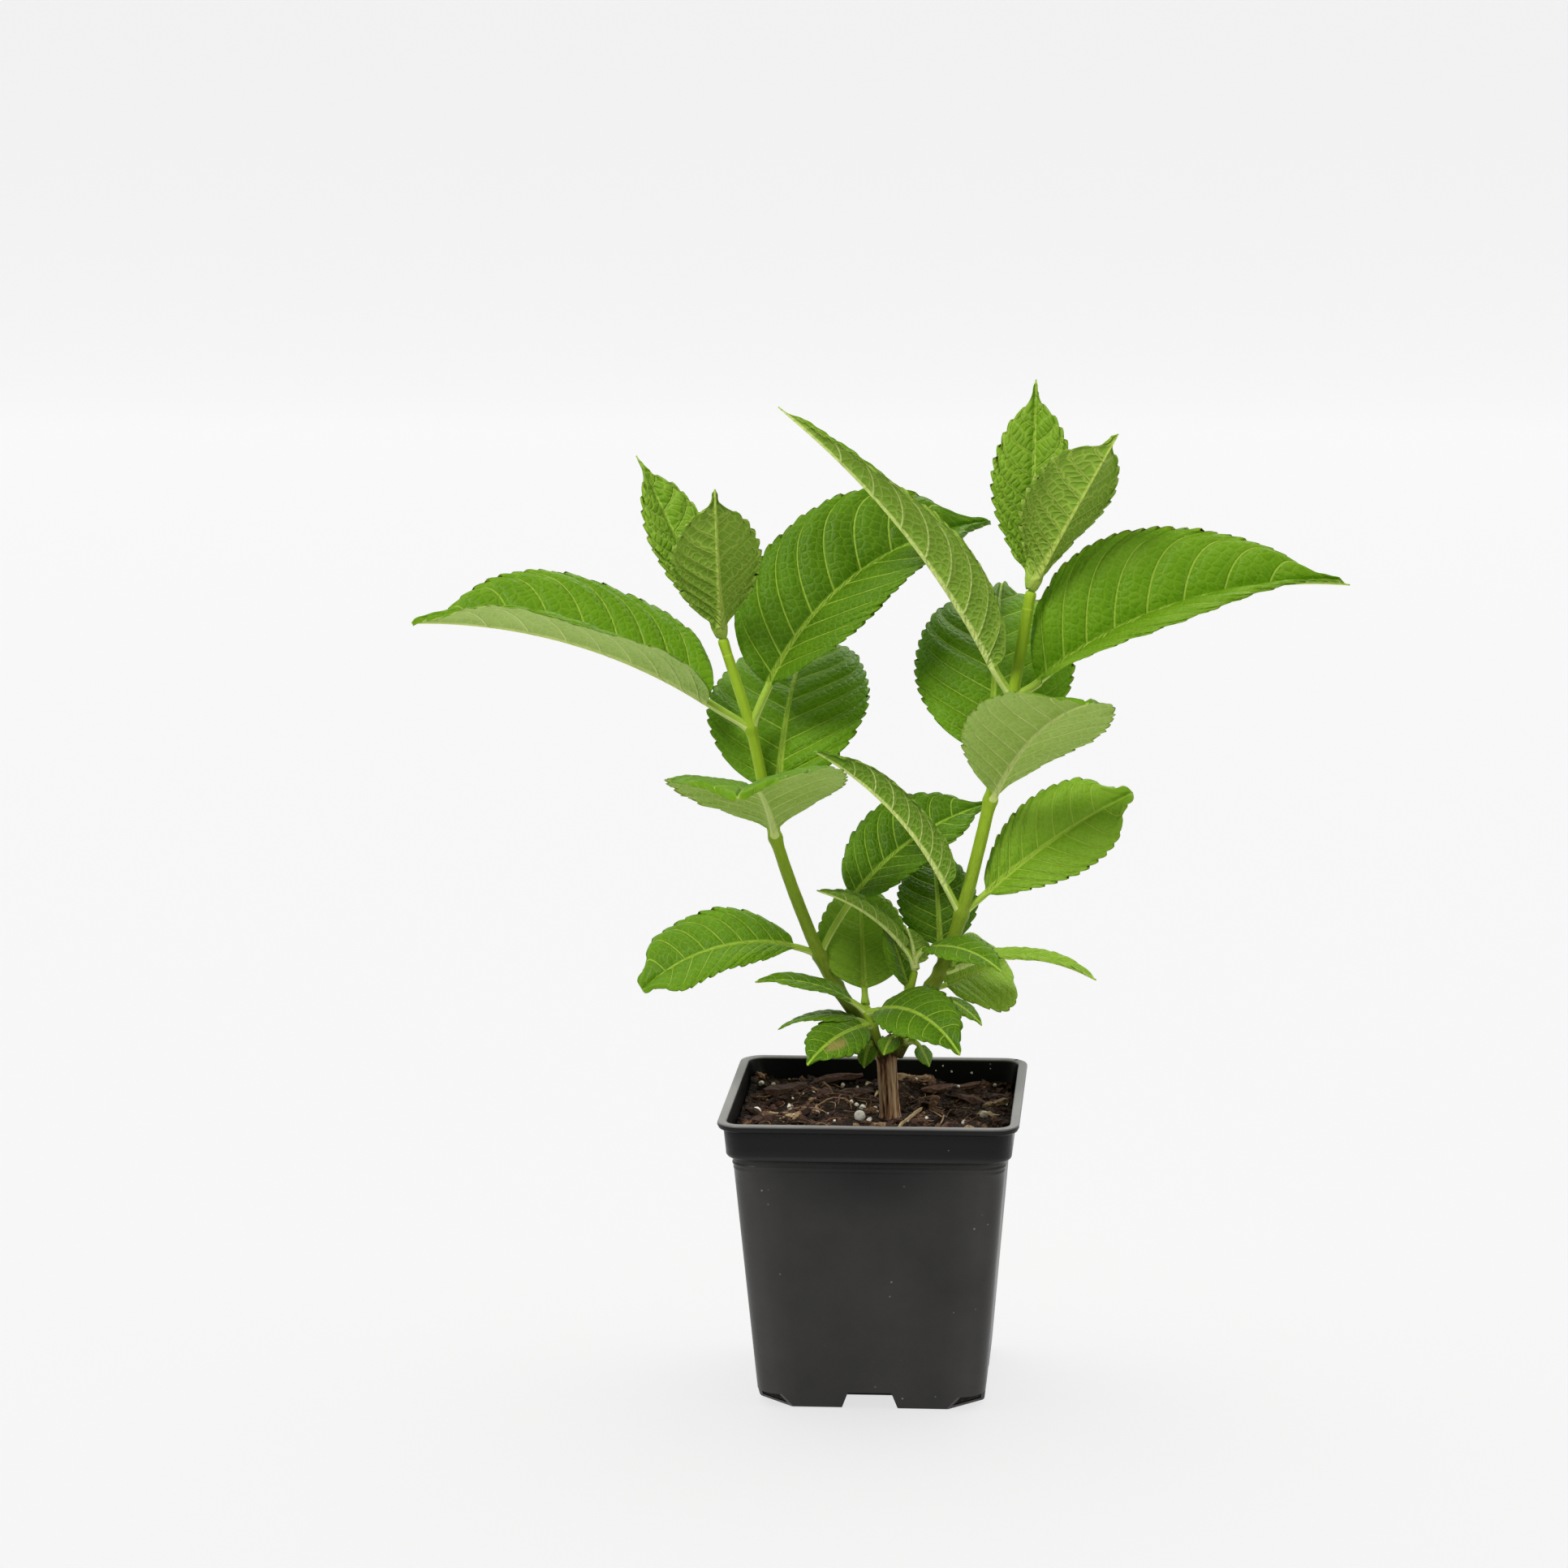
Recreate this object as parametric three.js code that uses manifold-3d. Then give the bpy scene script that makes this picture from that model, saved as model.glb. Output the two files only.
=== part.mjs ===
// A young garden hydrangea in a square nursery pot: two leafy shoots and three sprouts that
// rise from an old woody stem, cut back hard, in a pot filled with bark compost.
// Units are millimetres. +Z is up, +X runs to the right and +Y to the back of the plant as it
// is mostly seen. The origin is the middle of the pot's flat underside.
import * as THREE from "three";
import { mergeVertices } from "three/addons/utils/BufferGeometryUtils.js";
import Module from "manifold-3d";

const wasm = await Module();
wasm.setup();

// Clearance left between two pieces that touch on the real plant, and how far a cutter overshoots
const CLEAR = 0.3;
const OVERCUT = 6;

// Pot: thin injection-moulded wall, square in plan with round corners
const POT_WIDTH = 100;
const POT_HEIGHT = 100;
const POT_WALL = 1.2;
const POT_FOOT_WIDTH = 76;
const POT_SHOULDER_WIDTH = 91;
const POT_SHOULDER_Z = 87;
const LEDGE_HEIGHT = 1.6;
const INNER_LEDGE_LIFT = 0.4;
const BAND_WIDTH = 95;
const BAND_TOP_WIDTH = 96;
const LIP_THICKNESS = 1.4;
const LIP_EDGE = 1;
const BEAD_DROP = 1.6;
const BEAD_HEIGHT = 1.6;
const BEAD_DEPTH = 0.3;
const FOOT_CORNER = 9;
const RIM_CORNER = 7;
const FOOT_EDGE = 1;
const CORNER_STEPS = 4;

// Drain notches under the middle of each side, and the openings at the foot's corners
const NOTCH_WIDTH = 19;
const NOTCH_HEIGHT = 5.6;
const NOTCH_REACH = 15;
const NOTCH_DRAFT = 2.2;
const CORNER_OPENING_HEIGHT = 4.6;
const CORNER_OPENING_LEG = 5.5;
const CORNER_OPENING_SHELF = 2;

// Compost: a slightly mounded, lumpy top with a level patch round the woody stem
const SOIL_LEVEL = 91;
const SOIL_GRID = 12;
const STEM_PATCH = 10;
const STEM_PATCH_EDGE = 8;
const SOIL_MOUND = 1.2;
const SOIL_SLOPE = 0.015;

// Height of each wave of lumps, its scale along X and Y, and where it starts
const SOIL_WAVES = [
  [0.9, 9.1, 7.7, 1.3],
  [0.6, 4.3, -5.9, 0],
  [0.4, 3.1, 2.7, 2.4],
];

// Woody stem: the old stem, cut back to a stub just above the compost
const STEM_X = 5;
const STEM_Y = 0;
const STEM_HEIGHT = 27;
const STEM_RADIUS = 3.2;
const STUB_RADIUS = 3;
const STEM_FLARE = 1.5;
const STEM_FLARE_HEIGHT = 5;
const STEM_LEAN = 1.6;
const STEM_RIDGE = 0.18;
const STUB_SLANT = 1.6;
const STEM_SIDES = 12;
const STEM_LEVELS = [0, 0.06, 0.18, 0.4, 0.7, 0.88, 1];

// Green shoots: sides round a limb, and the swelling where a pair of leaves joins it
const LIMB_SIDES = 8;
const NODE_SWELL = 0.5;
const NODE_SPREAD = 2.2;
const LIMB_STEP = 8;

// A shoot's end: a short stem under the young pair, and a bud between them
const TIP_STEM = 6;
const BUD_LENGTH = 7;
const BUD_RADIUS = 1.6;
const BUD_SIDES = 6;

// Leaves: how a blade's width, midrib and thickness run from its base to its tip
const BLADE_BASE_POWER = 0.66;
const BLADE_TIP_POWER = 0.95;
const BLADE_THICKNESS_SHARE = 0.011;
const BLADE_STATIONS = [0, 0.05, 0.13, 0.24, 0.36, 0.49, 0.62, 0.74, 0.84, 0.93, 1];
const SMALL_BLADE_STATIONS = [0, 0.06, 0.2, 0.4, 0.62, 0.82, 1];
const SMALL_BLADE = 45;
const STALK_STATIONS = 2;
const RIB_AT_BASE = 0.8;
const RIB_PER_LENGTH = 0.006;
const RIB_AT_TIP = 0.25;
const RIB_TAPER = 0.7;
const STALK_TO_BLADE = 3;
const WING_CURL = 0.16;

const TINTS = {
  pot: { color: 0x2b2c2e, roughness: 0.45 },
  soil: { color: 0x3b2a1d, roughness: 0.95 },
  bark: { color: 0x6b5138, roughness: 0.85 },
  shoot: { color: 0x8fa63a, roughness: 0.5 },
  leaf: { color: 0x4f861c, roughness: 0.45 },
  young: { color: 0x7ba03c, roughness: 0.5 },
};

// Each internode has a length, the bearing it leans to (0 right, 90 back) and its rise, in degrees.
//
// A leaf's own sizes and angles, in degrees. bearing: the way it points. stalk: the stalk's length and
// its rise where it leaves the shoot. blade: length and width. arch: the blade's rise at its base and
// how far it has bent down by its tip. fold: how far each half stands up from flat. roll: how far the
// blade is turned about its midrib. tip, root: how narrow it runs out at the tip and at the base, if
// not as most leaves do.
//
// The leaves of pair 1 spring from a shoot's node 2, and so on, up to the young pair at its tip.
const SHOOTS = {
  left: {
    foot: [3, -0.5, 113],
    radii: [2.3, 1.7],
    internodes: [
      [28, 172, 54],
      [12, 170, 61],
      [43, 180, 70],
      [38, 166, 77],
      [26, 166, 72],
    ],
    pairs: {
      1: {
        left: {
          bearing: 187, stalk: [9, 27], blade: [56, 37], arch: [14, 60],
          fold: 20, roll: -28, tip: 0.5, root: 0.75,
        },
        right: { bearing: 24, stalk: [23, 64], blade: [58, 37], arch: [50, 40], fold: 26, roll: 28 },
      },
      2: {
        front: {
          bearing: 266, stalk: [5, 38], blade: [80, 62], arch: [42, 47],
          fold: 17, roll: 5, tip: 0.8, root: 0.9,
        },
        back: { bearing: 83, stalk: [16, 72], blade: [80, 56], arch: [70, 74], fold: 14, roll: 0 },
      },
      3: {
        left: { bearing: 187, stalk: [17, 31], blade: [104, 62], arch: [33, 34], fold: 44, roll: -12 },
        right: { bearing: 28, stalk: [16, 66], blade: [101, 63], arch: [62, 62], fold: 34, roll: 30 },
      },
    },
    youngPair: [
      {
        bearing: 152, stalk: [4, 66], blade: [64, 27], arch: [60, 0],
        fold: 24, roll: -24, tip: 1.25, root: 1.05,
      },
      {
        bearing: 272, stalk: [4, 66], blade: [57, 33], arch: [54, -14],
        fold: 24, roll: 12, tip: 1.15, root: 1,
      },
    ],
  },
  right: {
    foot: [7, -1.5, 113],
    radii: [2.4, 1.8],
    internodes: [
      [27, 350, 63],
      [7, 343, 60],
      [20, 22, 69],
      [40, 6, 76],
      [36, 8, 78],
      [30, 15, 80],
    ],
    pairs: {
      0: {
        low: { bearing: 330, stalk: [6, -50], blade: [17, 10], arch: [-12, 30], fold: 10, roll: 0 },
        right: {
          bearing: 36, stalk: [6, -12], blade: [25, 35], arch: [14, 6],
          fold: 10, roll: 40, tip: 0.45, root: 0.6,
        },
      },
      1: {
        front: { bearing: 339, stalk: [5, -6], blade: [53, 14], arch: [27, 52], fold: 20, roll: 4 },
        back: { bearing: 98, stalk: [9, 60], blade: [40, 27], arch: [64, 40], fold: 10, roll: 0 },
      },
      2: {
        left: { bearing: 193, stalk: [11, 60], blade: [66, 24], arch: [64, 34], fold: 50, roll: 6 },
        right: {
          bearing: 13, stalk: [11, 38], blade: [60, 34], arch: [41, 16],
          fold: 20, roll: 54, tip: 0.65, root: 0.85,
        },
      },
      3: {
        front: {
          bearing: 303, stalk: [4, 20], blade: [71, 52], arch: [52, 36],
          fold: 20, roll: -12, tip: 0.8, root: 0.95,
        },
        back: { bearing: 89, stalk: [16, 64], blade: [84, 55], arch: [64, 54], fold: 14, roll: 0 },
      },
      4: {
        left: {
          bearing: 191, stalk: [12, 50], blade: [114, 45], arch: [63, 24],
          fold: 36, roll: 8, tip: 1.15,
        },
        right: {
          bearing: 6, stalk: [10, 16], blade: [111, 65], arch: [40, 46],
          fold: 44, roll: 36, tip: 1.4, root: 0.8,
        },
      },
    },
    youngPair: [
      {
        bearing: 88, stalk: [4, 78], blade: [67, 30], arch: [72, 0],
        fold: 26, roll: -4, tip: 1.2, root: 1.1,
      },
      {
        bearing: 330, stalk: [4, 66], blade: [59, 39], arch: [58, 0],
        fold: 34, roll: -30, tip: 1.15, root: 1.15,
      },
    ],
  },
};

// Small shoots from the woody stem, each one mass of foliage. node: where on the stem a leaf springs
const SPROUTS = {
  front_sprout: {
    foot: [3, -2, 113],
    radii: [1.5, 1.1],
    internodes: [
      [12, 228, 64],
      [5, 170, 68],
      [3, 120, 58],
    ],
    leaves: [
      { node: 3, bearing: 98, stalk: [6, 50], blade: [42, 31], arch: [58, 10], fold: 12, roll: 0 },
      { node: 2, bearing: 191, stalk: [7, 42], blade: [34, 17], arch: [33, 40], fold: 14, roll: -6 },
      { node: 1, bearing: 175, stalk: [6, 26], blade: [28, 14], arch: [16, 50], fold: 8, roll: 0 },
      { node: 1, bearing: 226, stalk: [4, 24], blade: [28, 20], arch: [0, 40], fold: 8, roll: -20 },
      { node: 2, bearing: 317, stalk: [6, 18], blade: [42, 25], arch: [20, 66], fold: 14, roll: 26 },
    ],
  },
  middle_sprout: {
    foot: [6, -3, 114],
    radii: [1.5, 1.1],
    internodes: [
      [22, 332, 73],
      [9, 0, 76],
    ],
    leaves: [
      { node: 2, bearing: 192, stalk: [8, 76], blade: [37, 14], arch: [53, 36], fold: 46, roll: 0 },
      { node: 2, bearing: 322, stalk: [10, 98], blade: [34, 19], arch: [18, 48], fold: 12, roll: 10 },
      { node: 2, bearing: 250, stalk: [2, 70], blade: [15, 12], arch: [84, 40], fold: 14, roll: 0 },
      { node: 1, bearing: 150, stalk: [3, 70], blade: [26, 15], arch: [72, 10], fold: 14, roll: 0 },
    ],
  },
  left_sprig: {
    foot: [4, -1, 109],
    radii: [0.9, 0.7],
    internodes: [[10.2, 191, 55]],
    leaves: [
      { node: 1, bearing: 250, stalk: [1.5, -20], blade: [8, 6], arch: [-50, 20], fold: 8, roll: 0 },
    ],
  },
  right_sprig: {
    foot: [9.8, -3.4, 116.8],
    radii: [0.9, 0.8],
    internodes: [[4.5, 290, 25]],
    leaves: [
      { node: 1, bearing: 225, stalk: [9, 88], blade: [7, 10], arch: [-40, 30], fold: 8, roll: 0 },
      { node: 1, bearing: 332, stalk: [5, 38], blade: [8, 9], arch: [-50, 20], fold: 8, roll: 0 },
    ],
  },
};

const rad = THREE.MathUtils.degToRad;

function heading(bearing, rise) {
  const level = Math.cos(rad(rise));
  return new THREE.Vector3(
    level * Math.cos(rad(bearing)),
    level * Math.sin(rad(bearing)),
    Math.sin(rad(rise)),
  );
}

function middleOf(ring) {
  return ring.reduce((sum, point) => sum.add(point), new THREE.Vector3()).divideScalar(ring.length);
}

// A closed geometry over a stack of rings of equal count, each counter-clockwise about the way it runs
function loft(rings) {
  const count = rings[0].length;
  const points = rings.flat();
  const first = points.push(middleOf(rings[0])) - 1;
  const last = points.push(middleOf(rings[rings.length - 1])) - 1;
  const faces = [];
  for (let k = 0; k < count; k++) {
    const next = (k + 1) % count;
    for (let row = 0; row < rings.length - 1; row++) {
      const a = row * count;
      const b = a + count;
      faces.push(a + k, a + next, b + next, a + k, b + next, b + k);
    }
    const end = (rings.length - 1) * count;
    faces.push(first, next, k, last, end + k, end + next);
  }
  return new THREE.BufferGeometry().setFromPoints(points).setIndex(faces);
}

function solidOf(geometry) {
  return new wasm.Manifold(
    new wasm.Mesh({
      numProp: 3,
      vertProperties: Float32Array.from(geometry.getAttribute("position").array),
      triVerts: Uint32Array.from(geometry.getIndex().array),
    }),
  );
}

function geometryOf(solid) {
  const { vertProperties, triVerts, numProp } = solid.getMesh();
  const corners = new Float32Array((vertProperties.length / numProp) * 3);
  for (let i = 0; i < corners.length / 3; i++) {
    corners.set(vertProperties.subarray(i * numProp, i * numProp + 3), i * 3);
  }
  return new THREE.BufferGeometry()
    .setAttribute("position", new THREE.BufferAttribute(corners, 3))
    .setIndex(new THREE.BufferAttribute(Uint32Array.from(triVerts), 1));
}

// Points where a shoot's leaves join it, from its foot to its end
function nodesOf(shoot) {
  const nodes = [new THREE.Vector3(...shoot.foot)];
  for (const [length, bearing, rise] of shoot.internodes) {
    nodes.push(nodes[nodes.length - 1].clone().addScaledVector(heading(bearing, rise), length));
  }
  return nodes;
}

function ringAt(centre, side, face, radius, sides) {
  return Array.from({ length: sides }, (_, k) => {
    const turn = (2 * Math.PI * k) / sides;
    return centre
      .clone()
      .addScaledVector(side, radius * Math.cos(turn))
      .addScaledVector(face, radius * Math.sin(turn));
  });
}

// Two directions square to the way a limb runs
function across(along) {
  const side = new THREE.Vector3(0, 1, 0).cross(along).normalize();
  return [side, new THREE.Vector3().crossVectors(along, side)];
}

// A round limb along a smooth curve through the shoot's nodes, tapering, and swollen at each node
function limb(shoot, grow = 0) {
  const nodes = nodesOf(shoot);
  const joints = nodes.slice(1, -1);
  const curve = new THREE.CatmullRomCurve3(nodes, false, "centripetal");
  const [footRadius, endRadius] = shoot.radii;
  const steps = Math.max(3, Math.round(curve.getLength() / LIMB_STEP));
  const rings = Array.from({ length: steps + 1 }, (_, i) => {
    const s = i / steps;
    const centre = curve.getPointAt(s);
    const nearest = Math.min(...joints.map((joint) => joint.distanceTo(centre)));
    const swell = NODE_SWELL * Math.exp(-((nearest / NODE_SPREAD) ** 2));
    const radius = THREE.MathUtils.lerp(footRadius, endRadius, s) + swell + grow;
    return ringAt(centre, ...across(curve.getTangentAt(s)), radius, LIMB_SIDES);
  });
  return solidOf(loft(rings));
}

// A point at a share of an arc of the given length whose rise changes evenly
function onArc(start, bearing, fromRise, toRise, length, share) {
  const bend = rad(fromRise - toRise) || 1e-4;
  const now = rad(fromRise) - bend * share;
  const out = (length * (Math.sin(rad(fromRise)) - Math.sin(now))) / bend;
  const up = (length * (Math.cos(now) - Math.cos(rad(fromRise)))) / bend;
  return new THREE.Vector3(out * Math.cos(rad(bearing)), out * Math.sin(rad(bearing)), up).add(start);
}

// Half the blade's width at a share of its length, as a share of its widest
function bladeShape(t, basePower, tipPower) {
  const widest = basePower / (basePower + tipPower);
  const shape = (x) => x ** basePower * (1 - x) ** tipPower;
  return shape(t) / shape(widest);
}

// One leaf: a round stalk that runs on as the midrib of a folded blade with sharp margins
function leaf(base, spec) {
  const { bearing, fold, roll, root = BLADE_BASE_POWER, tip = BLADE_TIP_POWER } = spec;
  const [stalk, stalkRise] = spec.stalk;
  const [length, width] = spec.blade;
  const [rise, droop] = spec.arch;
  const stations = length < SMALL_BLADE ? SMALL_BLADE_STATIONS : BLADE_STATIONS;
  const ribAtBase = RIB_AT_BASE + RIB_PER_LENGTH * length;
  const halfThick = (length * BLADE_THICKNESS_SHARE) / 2;
  const bladeBase = onArc(base, bearing, stalkRise, rise, stalk, 1);
  const ring = (centre, riseHere, rollHere, t) => {
    const along = heading(bearing, riseHere);
    const side = heading(bearing + 90, 0).applyAxisAngle(along, rad(rollHere));
    const face = new THREE.Vector3().crossVectors(along, side);
    const rib = THREE.MathUtils.lerp(ribAtBase, RIB_AT_TIP, t ** RIB_TAPER);
    const wing = (bladeShape(t, root, tip) * width) / 2;
    const open = THREE.MathUtils.smoothstep(wing, 0, STALK_TO_BLADE * rib);
    const edge = rib + wing;
    const lift = (x) => open * (x * Math.sin(rad(fold)) - (WING_CURL * x * x) / (width / 2));
    const spread = (x) => x * THREE.MathUtils.lerp(1, Math.cos(rad(fold)), open);
    const mid = THREE.MathUtils.lerp(rib * Math.SQRT1_2, edge / 2, open);
    const thick = THREE.MathUtils.lerp(rib * Math.SQRT1_2, halfThick, open);
    const at = (x, y) =>
      centre
        .clone()
        .addScaledVector(side, Math.sign(x) * spread(Math.abs(x)))
        .addScaledVector(face, y + lift(Math.abs(x)));
    return [
      at(edge, 0),
      at(mid, thick),
      at(0, THREE.MathUtils.lerp(rib, halfThick, open)),
      at(-mid, thick),
      at(-edge, 0),
      at(-mid, -thick),
      at(0, -rib),
      at(mid, -thick),
    ];
  };
  const rings = [];
  for (let i = 0; i < STALK_STATIONS; i++) {
    const s = i / STALK_STATIONS;
    const centre = onArc(base, bearing, stalkRise, rise, stalk, s);
    rings.push(ring(centre, THREE.MathUtils.lerp(stalkRise, rise, s), roll * s, 0));
  }
  for (const t of stations) {
    const centre = onArc(bladeBase, bearing, rise, rise - droop, length, t);
    rings.push(ring(centre, rise - droop * t, roll, t));
  }
  return solidOf(loft(rings));
}

// Points round a square of the given width with round corners, counter-clockwise from above
function roundSquare(width, corner, z) {
  const inset = width / 2 - corner;
  const points = [];
  for (let quarter = 0; quarter < 4; quarter++) {
    const middle = Math.PI / 4 + (quarter * Math.PI) / 2;
    const x = Math.SQRT2 * inset * Math.cos(middle);
    const y = Math.SQRT2 * inset * Math.sin(middle);
    for (let i = 0; i <= CORNER_STEPS; i++) {
      const turn = middle - Math.PI / 4 + (i / CORNER_STEPS) * (Math.PI / 2);
      points.push(new THREE.Vector3(x + corner * Math.cos(turn), y + corner * Math.sin(turn), z));
    }
  }
  return points;
}

function squareLoft(levels) {
  return solidOf(loft(levels.map(([width, corner, z]) => roundSquare(width, corner, z))));
}

function potOuter() {
  const beadTop = POT_SHOULDER_Z - BEAD_DROP;
  const widthAt = (z) => THREE.MathUtils.lerp(POT_FOOT_WIDTH, POT_SHOULDER_WIDTH, z / POT_SHOULDER_Z);
  return squareLoft([
    [POT_FOOT_WIDTH - 2 * FOOT_EDGE, FOOT_CORNER, 0],
    [POT_FOOT_WIDTH, FOOT_CORNER, FOOT_EDGE],
    [widthAt(beadTop - BEAD_HEIGHT), FOOT_CORNER, beadTop - BEAD_HEIGHT],
    [widthAt(beadTop) + 2 * BEAD_DEPTH, FOOT_CORNER, beadTop - BEAD_HEIGHT / 2],
    [widthAt(beadTop), FOOT_CORNER, beadTop],
    [POT_SHOULDER_WIDTH, FOOT_CORNER, POT_SHOULDER_Z],
    [BAND_WIDTH, FOOT_CORNER, POT_SHOULDER_Z + LEDGE_HEIGHT],
    [BAND_TOP_WIDTH, RIM_CORNER, POT_HEIGHT - 2 * LIP_THICKNESS],
    [POT_WIDTH, RIM_CORNER + 1, POT_HEIGHT - LIP_THICKNESS],
    [POT_WIDTH - LIP_EDGE, RIM_CORNER + 1, POT_HEIGHT],
  ]);
}

// The space inside the pot, drawn in by a clearance for what fills it
function potInside(inset) {
  const walls = 2 * (POT_WALL + inset);
  const corner = FOOT_CORNER - POT_WALL;
  const ledge = POT_SHOULDER_Z + INNER_LEDGE_LIFT;
  return squareLoft([
    [POT_FOOT_WIDTH - walls, corner, POT_WALL + inset],
    [POT_SHOULDER_WIDTH - walls, corner, ledge],
    [BAND_WIDTH - walls, corner, ledge + LEDGE_HEIGHT],
    [BAND_TOP_WIDTH - walls, RIM_CORNER - POT_WALL, POT_HEIGHT + OVERCUT],
  ]);
}

// A straight prism over an outline of [x, y] corners, counter-clockwise
function prism(outline, depth) {
  return loft([0, depth].map((z) => outline.map(([x, y]) => new THREE.Vector3(x, y, z))));
}

// One solid made of a shape's four copies, a quarter turn apart
function onFourSides(makeGeometry, firstTurn) {
  const copies = [0, 1, 2, 3].map((quarter) => {
    return solidOf(makeGeometry().rotateZ(firstTurn + (quarter * Math.PI) / 2));
  });
  return copies.reduce((all, next) => all.add(next));
}

// Drafted channels under the foot, from the middle of each side inwards
function notches(grow) {
  const half = NOTCH_WIDTH / 2 + grow;
  const top = NOTCH_HEIGHT + grow;
  const outline = [
    [-half - NOTCH_DRAFT, -OVERCUT],
    [half + NOTCH_DRAFT, -OVERCUT],
    [half - NOTCH_DRAFT, top],
    [-half + NOTCH_DRAFT, top],
  ];
  const start = POT_FOOT_WIDTH / 2 + OVERCUT;
  const depth = OVERCUT + NOTCH_REACH + grow;
  const channel = () => prism(outline, depth).rotateX(Math.PI / 2).translate(0, start, 0);
  return onFourSides(channel, 0);
}

// Wedges that cut the foot's corners away along a slope, from the ground up
function cornerOpenings(grow) {
  const top = CORNER_OPENING_HEIGHT + grow;
  const corner = POT_FOOT_WIDTH / Math.SQRT2 - FOOT_CORNER * (Math.SQRT2 - 1);
  const outline = [
    [corner - CORNER_OPENING_LEG - grow, -CLEAR],
    [corner + OVERCUT, -CLEAR],
    [corner + OVERCUT, top],
    [corner - CORNER_OPENING_SHELF, top],
  ];
  const depth = POT_FOOT_WIDTH;
  const wedge = () => prism(outline, depth).translate(0, 0, -depth / 2).rotateX(Math.PI / 2);
  return onFourSides(wedge, Math.PI / 4);
}

function pot() {
  const shell = potOuter().subtract(notches(0));
  const hollow = potInside(0).subtract(notches(POT_WALL));
  return shell.subtract(hollow).subtract(cornerOpenings(0));
}

// Height of the compost above its level: a low mound, a slope up to the back left and waves of lumps,
// all fading out to a level patch round the woody stem
function soilRelief(x, y) {
  const mound = SOIL_MOUND * Math.cos((Math.PI * x) / POT_WIDTH) * Math.cos((Math.PI * y) / POT_WIDTH);
  const lump = ([height, acrossX, acrossY, phase]) => height * Math.sin(x / acrossX + y / acrossY + phase);
  const lumps = SOIL_WAVES.reduce((sum, wave) => sum + lump(wave), 0);
  const fromStem = Math.hypot(x - STEM_X, y - STEM_Y);
  const fade = THREE.MathUtils.smoothstep(fromStem, STEM_PATCH, STEM_PATCH + STEM_PATCH_EDGE);
  return (mound + SOIL_SLOPE * (y - x) + lumps) * fade;
}

// The compost: the space in the pot up to a lumpy surface
function soil() {
  const block = new THREE.BoxGeometry(POT_WIDTH, POT_WIDTH, SOIL_LEVEL, SOIL_GRID, SOIL_GRID, 1);
  block.translate(0, 0, SOIL_LEVEL / 2).deleteAttribute("normal").deleteAttribute("uv");
  const fill = mergeVertices(block);
  const points = fill.getAttribute("position");
  for (let i = 0; i < points.count; i++) {
    if (points.getZ(i) > 0) points.setZ(i, SOIL_LEVEL + soilRelief(points.getX(i), points.getY(i)));
  }
  const space = potInside(CLEAR).subtract(notches(POT_WALL + CLEAR)).subtract(cornerOpenings(CLEAR));
  return space.intersect(solidOf(fill));
}

// The largest body of a solid, without the scraps that a cut can leave
function wholeBody(solid) {
  return solid.decompose().reduce((best, next) => (next.volume() > best.volume() ? next : best));
}

// The old stem: ridged bark, a flare at the compost, a slight lean and a slanting, broken cut
function woodyStem(grow = 0) {
  const foot = SOIL_LEVEL + CLEAR;
  const rings = STEM_LEVELS.map((s) => {
    const height = s * STEM_HEIGHT;
    const flare = STEM_FLARE * Math.max(0, 1 - height / STEM_FLARE_HEIGHT) ** 2;
    return Array.from({ length: STEM_SIDES }, (_, k) => {
      const turn = (2 * Math.PI * k) / STEM_SIDES;
      const ridge = k % 2 ? STEM_RIDGE : -STEM_RIDGE;
      const radius = THREE.MathUtils.lerp(STEM_RADIUS, STUB_RADIUS, s) + flare + ridge + grow;
      const slant = s === 1 ? STUB_SLANT * Math.cos(turn) : 0;
      return new THREE.Vector3(
        STEM_X - STEM_LEAN * s + radius * Math.cos(turn),
        STEM_Y + radius * Math.sin(turn),
        foot + height + slant + grow * s,
      );
    });
  });
  return solidOf(loft(rings));
}

// A bud at a shoot's end: a small pointed egg
function bud(base, along) {
  const rings = [0, 0.25, 0.55, 0.8, 0.99].map((s) => {
    const centre = base.clone().addScaledVector(along, s * BUD_LENGTH);
    return ringAt(centre, ...across(along), BUD_RADIUS * Math.sqrt(1 - s * s), BUD_SIDES);
  });
  return solidOf(loft(rings));
}

// A sprout or sprig as one solid: its stem with every leaf's root sunk into it
function sprout(spec) {
  const nodes = nodesOf(spec);
  return spec.leaves.reduce((all, blade) => all.add(leaf(nodes[blade.node], blade)), limb(spec));
}

// The top of a shoot: its last short stem, a bud and a pair of young leaves
function shootTip(shoot) {
  const [, bearing, rise] = shoot.internodes[shoot.internodes.length - 1];
  const along = heading(bearing, rise);
  const foot = nodesOf(shoot).pop().addScaledVector(along, CLEAR);
  const stem = {
    foot: foot.toArray(),
    radii: [shoot.radii[1], shoot.radii[1] + NODE_SWELL],
    internodes: [[TIP_STEM, bearing, rise]],
  };
  const top = nodesOf(stem).pop();
  const leaves = shoot.youngPair.map((spec) => leaf(top, spec));
  return leaves.reduce((all, next) => all.add(next), limb(stem).add(bud(top, along)));
}

function addPiece(group, name, tint, solid) {
  const material = new THREE.MeshStandardMaterial({ ...TINTS[tint], metalness: 0 });
  const mesh = new THREE.Mesh(geometryOf(wholeBody(solid)), material);
  mesh.name = name;
  group.add(mesh);
}

const hydrangea = new THREE.Group();
hydrangea.name = "hydrangea_shrub";

addPiece(hydrangea, "pot", "pot", pot());
addPiece(hydrangea, "soil", "soil", soil());
addPiece(hydrangea, "woody_stem", "bark", woodyStem());

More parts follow.
